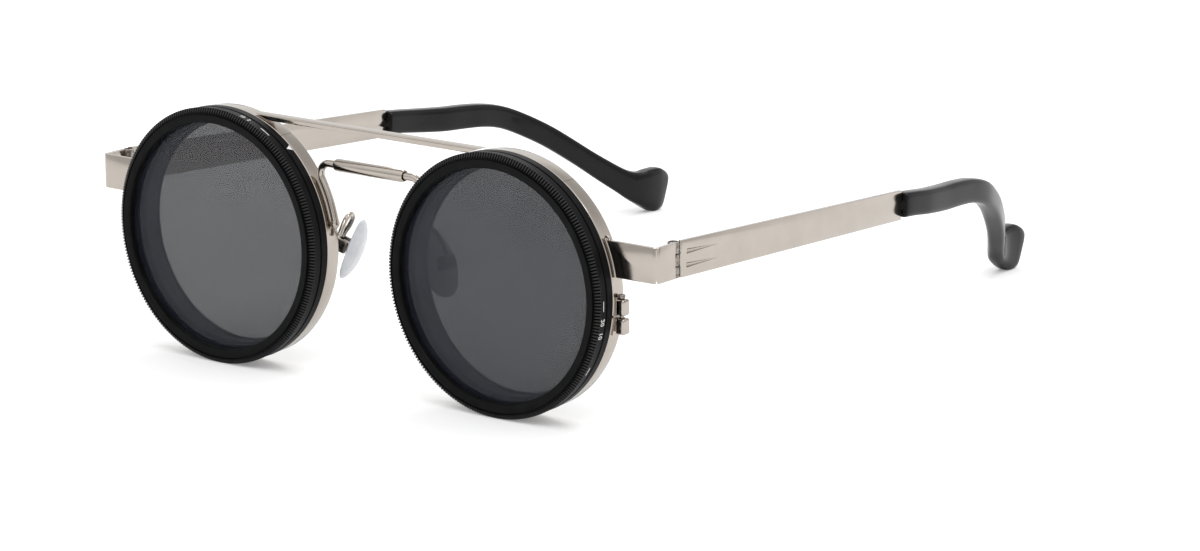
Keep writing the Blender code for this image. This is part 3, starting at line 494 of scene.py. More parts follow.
class Shaper:
    """Mesh work in millimetres, in the frame of the front."""

    @staticmethod
    def turned(profile: Sequence[Point], steps: int, angle: float = TURN,
               start: float = 0.0) -> BMesh:
        """Spin a closed profile of (radius, depth) points about the depth axis.

        Args:
            profile: the section's corners in order.
            steps: how many steps the spin takes.
            angle: how far it goes; less than a full turn leaves two closed ends.
            start: the angle at which it starts, from +X towards +Z.

        Returns:
            A closed mesh round the origin.
        """
        bm = bmesh.new()
        verts = [bm.verts.new((radius, depth, 0)) for radius, depth in profile]
        face = bm.faces.new(verts)
        full = angle >= TURN
        if full:
            bmesh.ops.delete(bm, geom=[face], context="FACES_ONLY")
        bmesh.ops.spin(
            bm, geom=list(bm.verts) + list(bm.edges) + list(bm.faces), cent=(0, 0, 0),
            axis=(0, -1, 0), dvec=(0, 0, 0), angle=angle, steps=steps, use_merge=full,
            use_duplicate=False,
        )
        bmesh.ops.remove_doubles(bm, verts=bm.verts, dist=1e-4)
        turn = Matrix.Rotation(start, 3, (0, -1, 0))
        bmesh.ops.rotate(bm, cent=(0, 0, 0), matrix=turn, verts=bm.verts)
        bmesh.ops.recalc_face_normals(bm, faces=bm.faces)
        return bm

    @staticmethod
    def round_edges(bm: BMesh, width: float, segments: int = 2,
                    sharper_than: float = 35.0) -> BMesh:
        """Bevel every edge whose faces meet at more than an angle."""
        limit = math.radians(sharper_than)
        edges = [e for e in bm.edges if len(e.link_faces) == 2 and e.calc_face_angle(0.0) > limit]
        bmesh.ops.bevel(
            bm, geom=edges, offset=width, offset_type="OFFSET", segments=segments, profile=0.5,
            affect="EDGES", material=-1, clamp_overlap=True,
        )
        return bm

    @staticmethod
    def slab(outline: Sequence[Point], low: float, high: float) -> BMesh:
        """Raise a flat outline of (x, y) points from one height to another."""
        bm = bmesh.new()
        face = bm.faces.new([bm.verts.new((x, y, low)) for x, y in outline])
        raised = bmesh.ops.extrude_face_region(bm, geom=[face])
        top = [item for item in raised["geom"] if isinstance(item, bmesh.types.BMVert)]
        bmesh.ops.translate(bm, vec=(0, 0, high - low), verts=top)
        bmesh.ops.recalc_face_normals(bm, faces=bm.faces)
        return bm

    @staticmethod
    def block(size: Point, place: Matrix = Matrix(), edge: float = 0.0) -> BMesh:
        """Return a box with rounded edges, about its own centre and then placed."""
        bm = bmesh.new()
        bmesh.ops.create_cube(bm, size=1.0)
        bmesh.ops.scale(bm, vec=Vector(size), verts=bm.verts)
        if edge:
            Shaper.round_edges(bm, edge, 3)
        bmesh.ops.transform(bm, matrix=place, verts=bm.verts)
        return bm

    @staticmethod
    def post(radius: float, height: float, place: Matrix = Matrix(), edge: float = 0.0,
             end_radius: Optional[float] = None, segments: int = 32) -> BMesh:
        """Return an upright post or taper with rounded rims, about its own centre."""
        bm = bmesh.new()
        bmesh.ops.create_cone(
            bm, cap_ends=True, cap_tris=False, segments=segments, radius1=radius,
            radius2=radius if end_radius is None else end_radius, depth=height,
        )
        if edge:
            Shaper.round_edges(bm, edge, 2, 60)
        bmesh.ops.transform(bm, matrix=place, verts=bm.verts)
        return bm

    @staticmethod
    def merge(*parts: BMesh) -> BMesh:
        """Return one mesh that holds all the parts."""
        result = parts[0]
        for part in parts[1:]:
            mesh = bpy.data.meshes.new("merge")
            part.to_mesh(mesh)
            part.free()
            result.from_mesh(mesh)
            bpy.data.meshes.remove(mesh)
        return result

    @staticmethod
    def carve(target: BMesh, tool: BMesh, way: Cut = Cut.AWAY) -> BMesh:
        """Cut a tool solid away from a piece or join it on, exactly."""
        objects = []
        for bm in (target, tool):
            mesh = bpy.data.meshes.new("carving")
            bm.to_mesh(mesh)
            bm.free()
            objects.append(bpy.data.objects.new("carving", mesh))
            bpy.context.scene.collection.objects.link(objects[-1])
        modifier = objects[0].modifiers.new("carve", "BOOLEAN")
        modifier.object = objects[1]
        modifier.operation = way.value
        modifier.solver = "EXACT"
        bpy.context.view_layer.update()
        solid = bpy.data.meshes.new_from_object(
            objects[0].evaluated_get(bpy.context.evaluated_depsgraph_get())
        )
        result = bmesh.new()
        result.from_mesh(solid)
        meshes = [obj.data for obj in objects] + [solid]
        for obj in objects:
            bpy.data.objects.remove(obj)
        for mesh in meshes:
            bpy.data.meshes.remove(mesh)
        return result

    @staticmethod
    def squared(bm: BMesh, verts: Sequence[bmesh.types.BMVert], power: float) -> None:
        """Swell a unit circle towards a square by a superellipse power."""
        for vert in verts:
            x, y = vert.co.x, vert.co.y
            vert.co.x = math.copysign(abs(x) ** (2 / power), x)
            vert.co.y = math.copysign(abs(y) ** (2 / power), y)

    @staticmethod
    def loft(places: Sequence[Matrix], segments: int, power: float = 2.0) -> BMesh:
        """Bridge circles, each placed by its own matrix, into one closed skin.

        Args:
            places: one matrix per section, which scales, turns and moves a unit circle.
            segments: points on each circle.
            power: 2 for round sections, and more for squarer ones.

        Returns:
            A closed mesh.
        """
        bm = bmesh.new()
        rings = []
        for place in places:
            made = bmesh.ops.create_circle(bm, cap_ends=False, segments=segments, radius=1.0)
            Shaper.squared(bm, made["verts"], power)
            bmesh.ops.transform(bm, matrix=place, verts=made["verts"])
            rings.append({edge for vert in made["verts"] for edge in vert.link_edges})
        for ring, following in zip(rings, rings[1:]):
            bmesh.ops.bridge_loops(bm, edges=list(ring | following))
        for ring in (rings[0], rings[-1]):
            bmesh.ops.contextual_create(bm, geom=list(ring))
        bmesh.ops.recalc_face_normals(bm, faces=bm.faces)
        return bm

    @staticmethod
    def headings(points: Sequence[Vector]) -> list[Vector]:
        """Return the direction of a route at each of its points."""
        ends = [points[0], *points, points[-1]]
        return [(after - before).normalized() for before, after in zip(ends, ends[2:])]

    @staticmethod
    def section(point: Vector, side: Vector, forward: Vector, half_size: Point) -> Matrix:
        """Return the place of one section: its X to the side, and its Z along the route."""
        turn = basis(side, side.cross(forward), forward)
        return Matrix.Translation(point) @ turn @ Matrix.Diagonal((*half_size, 1, 1))

    @staticmethod
    def along(points: Sequence[Vector], half_sizes: Sequence[Point]) -> list[Matrix]:
        """Return the place of each section of a route.

        Args:
            points: the route.
            half_sizes: half width and half height of each section.

        Returns:
            Matrices whose Z runs along the route, without twist.
        """
        places: list[Matrix] = []
        side: Optional[Vector] = None
        for point, forward, size in zip(points, Shaper.headings(points), half_sizes):
            if side is None:
                side = forward.cross(Vector((0, 0, 1)))
                if side.length < 0.01:
                    side = forward.cross(Vector((0, 1, 0)))
            side = (side - forward * side.dot(forward)).normalized()
            places.append(Shaper.section(point, side, forward, size))
        return places

    @staticmethod
    def wire(points: Sequence[Vector], radius: float, segments: int = 16) -> BMesh:
        """Return a round wire along a route, with softly rounded ends."""
        first, last = points[0], points[-1]
        start = (first - points[1]).normalized() * radius * 0.35
        end = (last - points[-2]).normalized() * radius * 0.35
        route = [first + start, *points, last + end]
        pinched = (radius * 0.7, radius * 0.7)
        sizes = [pinched, *[(radius, radius)] * len(points), pinched]
        return Shaper.loft(Shaper.along(route, sizes), segments)

    @staticmethod
    def arc(centre: Point, radius: float, start: float, end: float, steps: int) -> list[Vector]:
        """Return points along an arc in a plane, both ends among them."""
        angles = [start + (end - start) * step / steps for step in range(steps + 1)]
        return [Vector(centre) + radius * Vector((math.cos(a), math.sin(a))) for a in angles]

    @staticmethod
    def smooth_route(points: Sequence[Vector], steps: int) -> list[Vector]:
        """Return a smooth run of points through the given ones."""
        points = [Vector(point) for point in points]
        padded = [2 * points[0] - points[1], *points, 2 * points[-1] - points[-2]]
        route = []
        for before, start, end, after in zip(padded, padded[1:], padded[2:], padded[3:]):
            for step in range(steps):
                t = step / steps
                bend = 2 * before - 5 * start + 4 * end - after
                swing = 3 * start - before - 3 * end + after
                route.append(start + ((end - before) * t + bend * t * t + swing * t * t * t) / 2)
        route.append(points[-1])
        return route

    @staticmethod
    def mirrored(bm: BMesh, side: Side) -> BMesh:
        """Turn a left piece into a right one where the side asks for it."""
        if side is Side.RIGHT:
            bmesh.ops.scale(bm, vec=Vector((-1, 1, 1)), verts=bm.verts)
            bmesh.ops.reverse_faces(bm, faces=bm.faces)
        return bm

    @staticmethod
    def moved(bm: BMesh, place: Union[Matrix, Vector]) -> BMesh:
        """Move or turn a whole mesh."""
        matrix = Matrix.Translation(place) if isinstance(place, Vector) else place
        bmesh.ops.transform(bm, matrix=matrix, verts=bm.verts)
        return bm


@dataclass
class Bench:
    """Where finished pieces are put down: in the front's frame, in millimetres."""

    origin: Vector
    sharp_angle: float = math.radians(32)

    def add(self, name: str, bm: BMesh, finish: Finish, body: str,
            nodes: Sequence[str] = ()) -> None:
        """Turn a mesh into a piece of the object.

        Args:
            name: the piece's name.
            bm: its shape in millimetres.
            finish: its surface.
            body: the body that it rides on.
            nodes: the CAD nodes that it stands for.
        """
        place = Matrix.Translation(self.origin) @ Matrix.Scale(MM, 4)
        bmesh.ops.transform(bm, matrix=place, verts=bm.verts)
        bmesh.ops.recalc_face_normals(bm, faces=bm.faces)
        mesh = bpy.data.meshes.new(name)
        bm.to_mesh(mesh)
        bm.free()
        mesh.shade_smooth()
        mesh.set_sharp_from_angle(angle=self.sharp_angle)
        mesh.materials.append(finish.material())
        piece = bpy.data.objects.new(name, mesh)
        bpy.context.scene.collection.objects.link(piece)
        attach(piece, body)
        if nodes:
            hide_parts(*nodes)
        LOG.info("%s: %d faces on %s", name, len(mesh.polygons), body)

    def repaint(self, node: str, finish: Finish) -> None:
        """Give a better surface to a CAD node that keeps its shape."""
        mesh = frame["nodes"][node].data
        mesh.materials.clear()
        mesh.materials.append(finish.material())
        LOG.info("%s: repainted", node)


@dataclass
class Sided:
    """A group of pieces of one side, which is modelled on the left."""

    side: Side

    def put(self, bench: Bench, name: str, bm: BMesh, finish: Finish, node: str = "",
            body: str = "front") -> None:
        """Mirror a piece where the side asks for it, and put it down.

        Args:
            bench: where it is put.
            name: its name, without the side.
            bm: its shape on the left, in millimetres.
            finish: its surface.
            node: the CAD node that it stands for, without the side.
            body: the full name of the body that it rides on.
        """
        nodes = [self.side.named(node)] if node else []
        bench.add(self.side.named(name), Shaper.mirrored(bm, self.side), finish, body, nodes)


@dataclass
class ScrewHead:
    """A small slotted cheese-head screw."""

    head_radius: float
    head_height: float = 0.6
    shank_radius: float = 0.4
    slot_width: float = 0.3
    slot_depth: float = 0.28
    edge: float = 0.12

    def shape(self, length: float, place: Matrix) -> BMesh:
        """Return the screw: its head stands on Z = 0 and its shank hangs below."""
        rise = at(0, 0, self.head_height / 2)
        head = Shaper.post(self.head_radius, self.head_height, rise, self.edge, segments=28)
        fall = at(0, 0, 0.1 - length / 2)
        shank = Shaper.post(self.shank_radius, length + 0.2, fall, segments=16)
        slot = Shaper.block(
            (3 * self.head_radius, self.slot_width, 2 * self.slot_depth),
            at(0, 0, self.head_height),
        )
        screw = Shaper.carve(Shaper.carve(head, shank, Cut.JOINED), slot)
        return Shaper.moved(screw, place)


@dataclass
class RingSizes:
    """Radii and depths of the filter rings and the rim, in millimetres."""

    knurl: float = 25.4
    knurl_inner: float = 24.3
    land: float = 24.0
    lip: float = 22.4
    band: float = 25.2
    spigot: float = 23.75
    front_recess: float = 22.95
    base_bore: float = 24.05
    base_spigot: float = 23.1
    rear_recess: float = 22.7
    aperture: float = 21.8
    rim: float = RIM_RADIUS
    rim_bore: float = 23.4
    land_start: float = 0.35
    tooth_end: float = 1.04
    front_band_end: float = 2.75
    front_end: float = 4.15
    base_band_start: float = 3.05
    base_band_end: float = 4.75
    base_step: float = 4.35
    base_end: float = 7.9
    rim_start: float = 5.05
    rim_end: float = RIM_BACK
    front_seat: float = 1.4
    rear_seat: float = 6.4
    glass: float = 0.8
    running_gap: float = 0.2


@dataclass
class Mark:
    """One printed mark on a band: a number or a plain stroke, and where it stands."""

    angle: float
    depth: float
    text: str = ""
    height: float = 1.0
    length: float = 1.4


@dataclass
class FilterRings:
    """The turning toothed ring, the fixed ring and their retainers, for one eye."""

    side: Side
    centre: Vector
    sizes: RingSizes = field(default_factory=RingSizes)
    teeth: int = 256
    tooth_depth: float = 0.42
    # Where the four columns of a tooth stand in its pitch: two on the crest and two in the gap
    tooth_shares: Point = (0.0, 0.42, 0.54, 0.88)
    retainer_width: float = 0.8
    retainer_height: float = 0.4
    key_notch: Point = (1.0, 0.3, 1.3)
    ink: float = 0.008
    marks_turning: Sequence[Mark] = ()
    triangle_angle: Optional[float] = None

    def toothed_profile(self) -> list[Point]:
        """Return the section of the turning ring."""
        s = self.sizes
        return [
            (s.lip, 0.42), (s.lip + 0.06, 0.2), (s.lip + 0.2, 0.04), (s.lip + 0.34, 0.0),
            (s.land - 0.07, 0.0), (s.land, 0.07), (s.land, s.land_start),
            (s.knurl_inner, s.land_start), (s.knurl_inner, 0.16), (s.knurl_inner + 0.07, 0.1),
            (24.85, 0.38), (25.32, 0.62),
            (s.knurl, 0.72), (s.knurl, 0.94), (25.33, 1.02), (s.band + 0.01, s.tooth_end),
            (s.band, 1.1), (s.band, s.front_band_end - 0.12), (s.band - 0.1, s.front_band_end),
            (s.spigot, s.front_band_end), (s.spigot, s.front_end), (s.front_recess, s.front_end),
            (s.front_recess, s.front_seat), (s.lip, s.front_seat),
        ]

    def toothed_ring(self) -> BMesh:
        """Spin the turning ring with four columns to a tooth, and press in the gaps."""
        columns = 4 * self.teeth
        bm = Shaper.turned(self.toothed_profile(), columns)
        # The crest mark carries the painted highlight and the gap mark the painted shade that the
        # black finish reads
        crest, gap = (bm.verts.layers.float.new(name) for name in ("crest", "gap"))
        pitch = TURN / self.teeth
        for vert in bm.verts:
            radius = math.hypot(vert.co.x, vert.co.z)
            depth = vert.co.y
            if radius < self.sizes.knurl_inner + 0.03 or not 0.05 <= depth <= 1.03:
                continue
            if radius < self.sizes.band + 0.05 and depth > 0.9:
                continue
            column = round(math.atan2(vert.co.z, vert.co.x) / pitch * 4)
            tooth, place = divmod(column, 4)
            angle = (tooth + self.tooth_shares[place]) * pitch
            if place >= 2:
                sink = self.tooth_depth * min(1.0, 0.35 + (radius - self.sizes.knurl_inner) / 0.7)
                radius -= sink * (0.55 if depth < 0.7 else 0.9)
                depth += sink * 0.75 if depth < 0.65 else 0.0
                vert[gap] = 1.0
            elif radius > self.sizes.knurl_inner + 0.3:
                vert[crest] = 1.0
            vert.co = Vector((radius * math.cos(angle), depth, radius * math.sin(angle)))
        return bm

    def fixed_profile(self) -> list[Point]:
        """Return the section of the fixed ring."""
        s, edge = self.sizes, 0.05
        start, end = s.base_band_start, s.base_band_end
        return [
            (s.band - 0.1, start), (s.band, start + 0.1), (s.band, end - 0.12),
            (s.band - 0.12, end), (s.base_spigot, end), (s.base_spigot, s.base_end - edge),
            (s.base_spigot - edge, s.base_end), (s.rear_recess + edge, s.base_end),
            (s.rear_recess, s.base_end - edge), (s.rear_recess, s.rear_seat),
            (s.aperture, s.rear_seat), (s.aperture, s.base_step + 0.1),
            (s.aperture + 0.1, s.base_step), (s.base_bore, s.base_step), (s.base_bore, start),
        ]

    def retainer(self, seat: float, recess: float) -> BMesh:
        """Turn a flat ring with two key notches, which holds a glass in its recess."""
        outer = recess - self.sizes.running_gap
        inner = outer - self.retainer_width
        front = seat + self.sizes.glass + 2 * self.sizes.running_gap
        back, edge = front + self.retainer_height, 0.06
        profile = [
            (outer, front), (outer, back - edge), (outer - edge, back),
            (inner + edge, back), (inner, back - edge), (inner, front),
        ]
        ring = Shaper.turned(profile, 160)
        for sign in (1, -1):
            ring = Shaper.carve(ring, Shaper.block(self.key_notch, at(sign * inner, back, 0)))
        return Shaper.moved(ring, self.centre)

    def wrapped(self, bm: BMesh, angle: float, depth: float) -> BMesh:
        """Wrap a flat mark round the band: its X runs along it, and its Y to the rear."""
        radius = self.sizes.band
        for vert in bm.verts:
            turn = angle - vert.co.x / radius
            reach = radius + 0.004 + vert.co.z
            vert.co = Vector((reach * math.cos(turn), depth + vert.co.y, reach * math.sin(turn)))
        return Shaper.moved(bm, self.centre)

    def number(self, mark: Mark) -> BMesh:
        """Return a flat printed number."""
        curve = bpy.data.curves.new("numbers", "FONT")
        curve.body = mark.text
        curve.size = mark.height * 1.35
        curve.align_x = "CENTER"
        curve.align_y = "CENTER"
        curve.extrude = self.ink
        curve.resolution_u = 3
        holder = bpy.data.objects.new("numbers", curve)
        bpy.context.scene.collection.objects.link(holder)
        bpy.context.view_layer.update()
        mesh = bpy.data.meshes.new_from_object(
            holder.evaluated_get(bpy.context.evaluated_depsgraph_get())
        )
        bm = bmesh.new()
        bm.from_mesh(mesh)
        bpy.data.objects.remove(holder)
        bpy.data.curves.remove(curve)
        bpy.data.meshes.remove(mesh)
        bmesh.ops.remove_doubles(bm, verts=bm.verts, dist=0.001)
        bmesh.ops.scale(bm, vec=Vector((1, -1, 1)), verts=bm.verts)
        return bm

    def stroke(self, mark: Mark) -> BMesh:
        """Return a flat printed stroke, with enough steps to bend round the band."""
        bm = Shaper.block((mark.length, 0.16, 2 * self.ink))
        half = mark.length / 2
        edges = [e for e in bm.edges if abs(e.verts[0].co.x - e.verts[1].co.x) > half]
        bmesh.ops.subdivide_edges(bm, edges=edges, cuts=6)
        return bm

    def mark(self, mark: Mark) -> BMesh:
        """Return one printed mark, a number or a stroke, on the turning band."""
        bm = self.number(mark) if mark.text else self.stroke(mark)
        return self.wrapped(bm, mark.angle, mark.depth)

    def triangle(self, angle: float) -> BMesh:
        """Return the printed triangle on the fixed band, which points to the front."""
        half, s = 0.62, self.sizes
        bm = Shaper.slab([(-half, half), (half, half), (0.0, -half)], -self.ink, self.ink)
        return self.wrapped(bm, angle, (s.base_band_start + s.base_band_end) / 2)

    def build(self, bench: Bench) -> None:
        """Make the rings and dress the glasses."""
        named, s = self.side.named, self.sizes
        turning = named("filter")
        ring = Shaper.moved(self.toothed_ring(), self.centre)
        bench.add(named("toothed_ring"), ring, BLACK, turning, [named("front_ring")])
        fixed = Shaper.moved(Shaper.turned(self.fixed_profile(), 288), self.centre)
        bench.add(named("fixed_ring"), fixed, BLACK, "front", [named("base_ring")])
        front = self.retainer(s.front_seat, s.front_recess)
        bench.add(named("front_key_ring"), front, BLACK, turning, [named("front_retainer")])
        rear = self.retainer(s.rear_seat, s.rear_recess)
        bench.add(named("rear_key_ring"), rear, BLACK, "front", [named("rear_retainer")])
        for index, mark in enumerate(self.marks_turning):
            bench.add(named(f"band_mark_{index}"), self.mark(mark), INK, turning)
        if self.triangle_angle is not None:
            bench.add(named("index_triangle"), self.triangle(self.triangle_angle), INK, "front")
        glass = GLASS if self.side is Side.LEFT else TURNED_GLASS
        bench.repaint(named("front_lens"), glass)
        bench.repaint(named("rear_lens"), glass)
        bench.repaint(named("keeper_ring"), STEEL)


@dataclass
class Rim(Sided):
    """The silver rim of one eye with its two closing blocks and their screw."""

    ring_x: float
    sizes: RingSizes = field(default_factory=RingSizes)
    slit: float = 0.5
    block_radius: float = 1.25
    block_height: float = 3.1
    block_shares: Point = (0.86, 0.84)
    block_shift: float = 0.12
    block_distance: float = 26.0
    closing_z: float = -3.1
    neck_size: Point = (0.9, 1.2)
    neck_shift: float = -0.75
    hole_radius: float = 0.6
    plate_start: float = 5.45
    plate_end: float = 7.95
    plate_thickness: float = 0.32
    seam_angle: float = math.radians(57)

    def profile(self) -> list[Point]:
        """Return the section of the band."""
        s = self.sizes
        return [
            (s.rim - 0.12, s.rim_start), (s.rim, s.rim_start + 0.12), (s.rim, s.rim_end - 0.3),
            (s.rim - 0.08, s.rim_end - 0.1), (s.rim - 0.28, s.rim_end),
            (s.rim_bore + 0.22, s.rim_end), (s.rim_bore, s.rim_end - 0.2),
            (s.rim_bore, s.rim_start),
        ]

    def axis_place(self) -> Vector:
        """Return where the closing screw stands, for the left side."""
        x = math.sqrt(self.block_distance ** 2 - self.closing_z ** 2)
        return Vector((x, (self.sizes.base_band_end + self.sizes.rim_end) / 2, self.closing_z))

    def plate(self, upward: int) -> BMesh:
        """Return the thin plate that carries one closing block on the band."""
        s = self.sizes
        inner, outer = s.rim - 0.1, s.rim + self.plate_thickness
        profile = [
            (inner, self.plate_start), (outer, self.plate_start), (outer, self.plate_end),
            (inner, self.plate_end),
        ]
        lean = math.asin((abs(self.closing_z) + self.slit / 2 * -upward) / s.rim)
        reach = (self.block_height + 0.35) / s.rim
        start = -lean if upward > 0 else -lean - reach
        plate = Shaper.turned(profile, 10, reach, start)
        return Shaper.round_edges(plate, 0.1, 2, 50)

    def block(self, upward: int) -> BMesh:
        """Return one rounded closing block beside the slit."""
        middle = upward * (self.slit + self.block_height) / 2
        width, depth = (2 * self.block_radius * share for share in self.block_shares)
        place = Matrix.Translation(self.axis_place() + Vector((self.block_shift, 0, middle)))
        return Shaper.block((width, depth, self.block_height), place, 0.5)

    def neck(self, upward: int) -> BMesh:
        """Return the short neck between a block and its plate."""
        middle = upward * (self.slit + self.block_height) / 2
        place = Matrix.Translation(self.axis_place() + Vector((self.neck_shift, 0, middle)))
        return Shaper.block((*self.neck_size, self.block_height - 0.5), place, 0.2)

    def seam(self) -> BMesh:
        """Return the thin cutter of the band's butt seam, at the upper right of each rim."""
        angle = self.seam_angle if self.side is Side.LEFT else math.pi - self.seam_angle
        turn = rolled("Y", -angle)
        return Shaper.block((0.3, 8.0, 0.09), turn @ at(self.sizes.rim, 6.7, 0))

    def build(self, bench: Bench) -> None:
        """Make the band, its blocks and the screw."""
        s = self.sizes
        half = math.asin(self.slit / 2 / s.rim)
        lean = -math.asin(abs(self.closing_z) / s.rim)
        rim = Shaper.turned(self.profile(), 288, TURN - 2 * half, lean + half)
        for upward in (1, -1):
            for solid in (self.plate(upward), self.neck(upward), self.block(upward)):
                rim = Shaper.carve(rim, solid, Cut.JOINED)
        spot = Matrix.Translation(self.axis_place())
        hole = Shaper.post(self.hole_radius, 2 * self.block_height + 1, spot)
        rim = Shaper.carve(Shaper.carve(rim, hole), self.seam())
        centre = at(self.ring_x, 0, 0)
        self.put(bench, "rim_band", Shaper.moved(rim, centre), SILVER, "rim")
        top = spot @ at(0, 0, self.block_height + self.slit / 2 + 0.2)
        screw = ScrewHead(0.7).shape(2 * self.block_height + self.slit, top @ rolled("Z", 0.6))
        self.put(bench, "rim_screw", Shaper.moved(screw, centre), STEEL, "closing_screw")


@dataclass
class Endpiece(Sided):
    """The bent strap from the rim to the hinge, the outer knuckles and the hinge's screw."""

    ring_x: float
    rim_radius: float = RIM_RADIUS
    outer_x: float = 69.4
    front_y: float = 5.6
    thickness: float = 0.9
    height: float = 6.8
    bend: float = 1.2
    hinge: Point = HINGE
    knuckle_gap: float = 0.2
    knuckle_radius: float = 1.1
    bore_radius: float = 0.7
    opening: float = 1.3
    head_sink: float = 0.42
    relief: Sequence[Point] = ((-0.2, 0), (0.2, 0), (0, 1.05))
    relief_reach: float = 2.4
    bead_radius: float = 0.3

    @property
    def knuckle_height(self) -> float:
        """Return the height of each of the three knuckles."""
        return (self.height - 2 * self.knuckle_gap) / 3

    def strap(self) -> BMesh:
        """Bend the strap, cut its rim seat, and cut a narrow relief above and below the bend."""
        _, hinge_y, middle_z = self.hinge
        low, high = middle_z - self.height / 2, middle_z + self.height / 2
        centre = (self.outer_x - self.bend, self.front_y + self.bend)
        end_y = hinge_y - self.opening / 2
        outline = [Vector((self.ring_x + self.rim_radius - 2.0, self.front_y))]
        outline += Shaper.arc(centre, self.bend, -QUARTER, 0, 10)
        outline += [Vector((self.outer_x, end_y)), Vector((self.outer_x - self.thickness, end_y))]
        outline += Shaper.arc(centre, self.bend - self.thickness, 0, -QUARTER, 10)
        outline.append(Vector((outline[0].x, self.front_y + self.thickness)))
        strap = Shaper.round_edges(Shaper.slab(outline, low, high), 0.14, 2, 50)
        across = at(self.ring_x, 8, 0) @ rolled("X")
        seat = Shaper.post(self.rim_radius + SEAT_GAP, 20, across, segments=160)
        strap = Shaper.carve(strap, seat)
        facing = rolled("Z", math.pi / 4) @ rolled("X")
        for z, flip in ((low - 0.25, 0.0), (high + 0.75, math.pi)):
            relief = Shaper.slab(self.relief, -self.relief_reach, self.relief_reach)
            place = at(self.outer_x, self.front_y, z) @ facing @ rolled("Z", flip)
            strap = Shaper.carve(strap, Shaper.moved(relief, place))
        return strap

    def notched(self) -> BMesh:
        """Return the strap with room for the temple's knuckle, and with its bead."""
        axis = at(*self.hinge)
        room = Shaper.post(self.knuckle_radius + 0.3, self.knuckle_height + 0.4, axis)
        return Shaper.carve(Shaper.carve(self.strap(), room), self.bead(), Cut.JOINED)

    def knuckles(self) -> BMesh:
        """Return the two outer knuckles, bored and sunk for the screw."""
        axis, knuckle = at(*self.hinge), self.knuckle_height
        rise = at(0, 0, knuckle + self.knuckle_gap)
        barrel = Shaper.merge(*(
            Shaper.post(self.knuckle_radius, knuckle, axis @ place, 0.1)
            for place in (rise, rise.inverted())
        ))
        sink = axis @ at(0, 0, self.height / 2)
        barrel = Shaper.carve(barrel, Shaper.post(self.bore_radius + 0.1, 2 * self.head_sink, sink))
        return Shaper.carve(barrel, Shaper.post(self.bore_radius, self.height + 1, axis))

    def bead(self) -> BMesh:
        """Return the bright bead of solder along the seat, with a small curl on top."""
        points = []
        for step in range(15):
            z = self.hinge[2] - self.height / 2 + 0.1 + (self.height + 0.1) * step / 14
            x = self.ring_x + math.sqrt((self.rim_radius + 0.36) ** 2 - z * z)
            points.append(Vector((x, self.front_y + 0.12, z)))
        top = points[-1]
        for step in range(1, 8):
            angle = math.pi * 1.3 * step / 7
            x, y, z = 0.42 * (1 - math.cos(angle)), 0.25 * step / 7, 0.5 * math.sin(angle)
            points.append(top + Vector((x, y, z)))
        sizes = [(self.bead_radius, self.bead_radius)] * len(points)
        return Shaper.loft(Shaper.along(points, sizes), 12)

    def build(self, bench: Bench) -> None:
        """Make the strap, the knuckles and the hinge's screw."""
        self.put(bench, "corner_strap", self.notched(), SILVER, "endpiece")
        self.put(bench, "outer_knuckles", self.knuckles(), STEEL)
        x, y, z = self.hinge
        place = at(x, y, z + self.height / 2 - self.head_sink + 0.03) @ rolled("Z", 0.4)
        screw = ScrewHead(0.7, head_height=0.3, slot_depth=0.2, edge=0.1)
        self.put(bench, "hinge_pin", screw.shape(self.height - 0.6, place), STEEL, "hinge_screw")


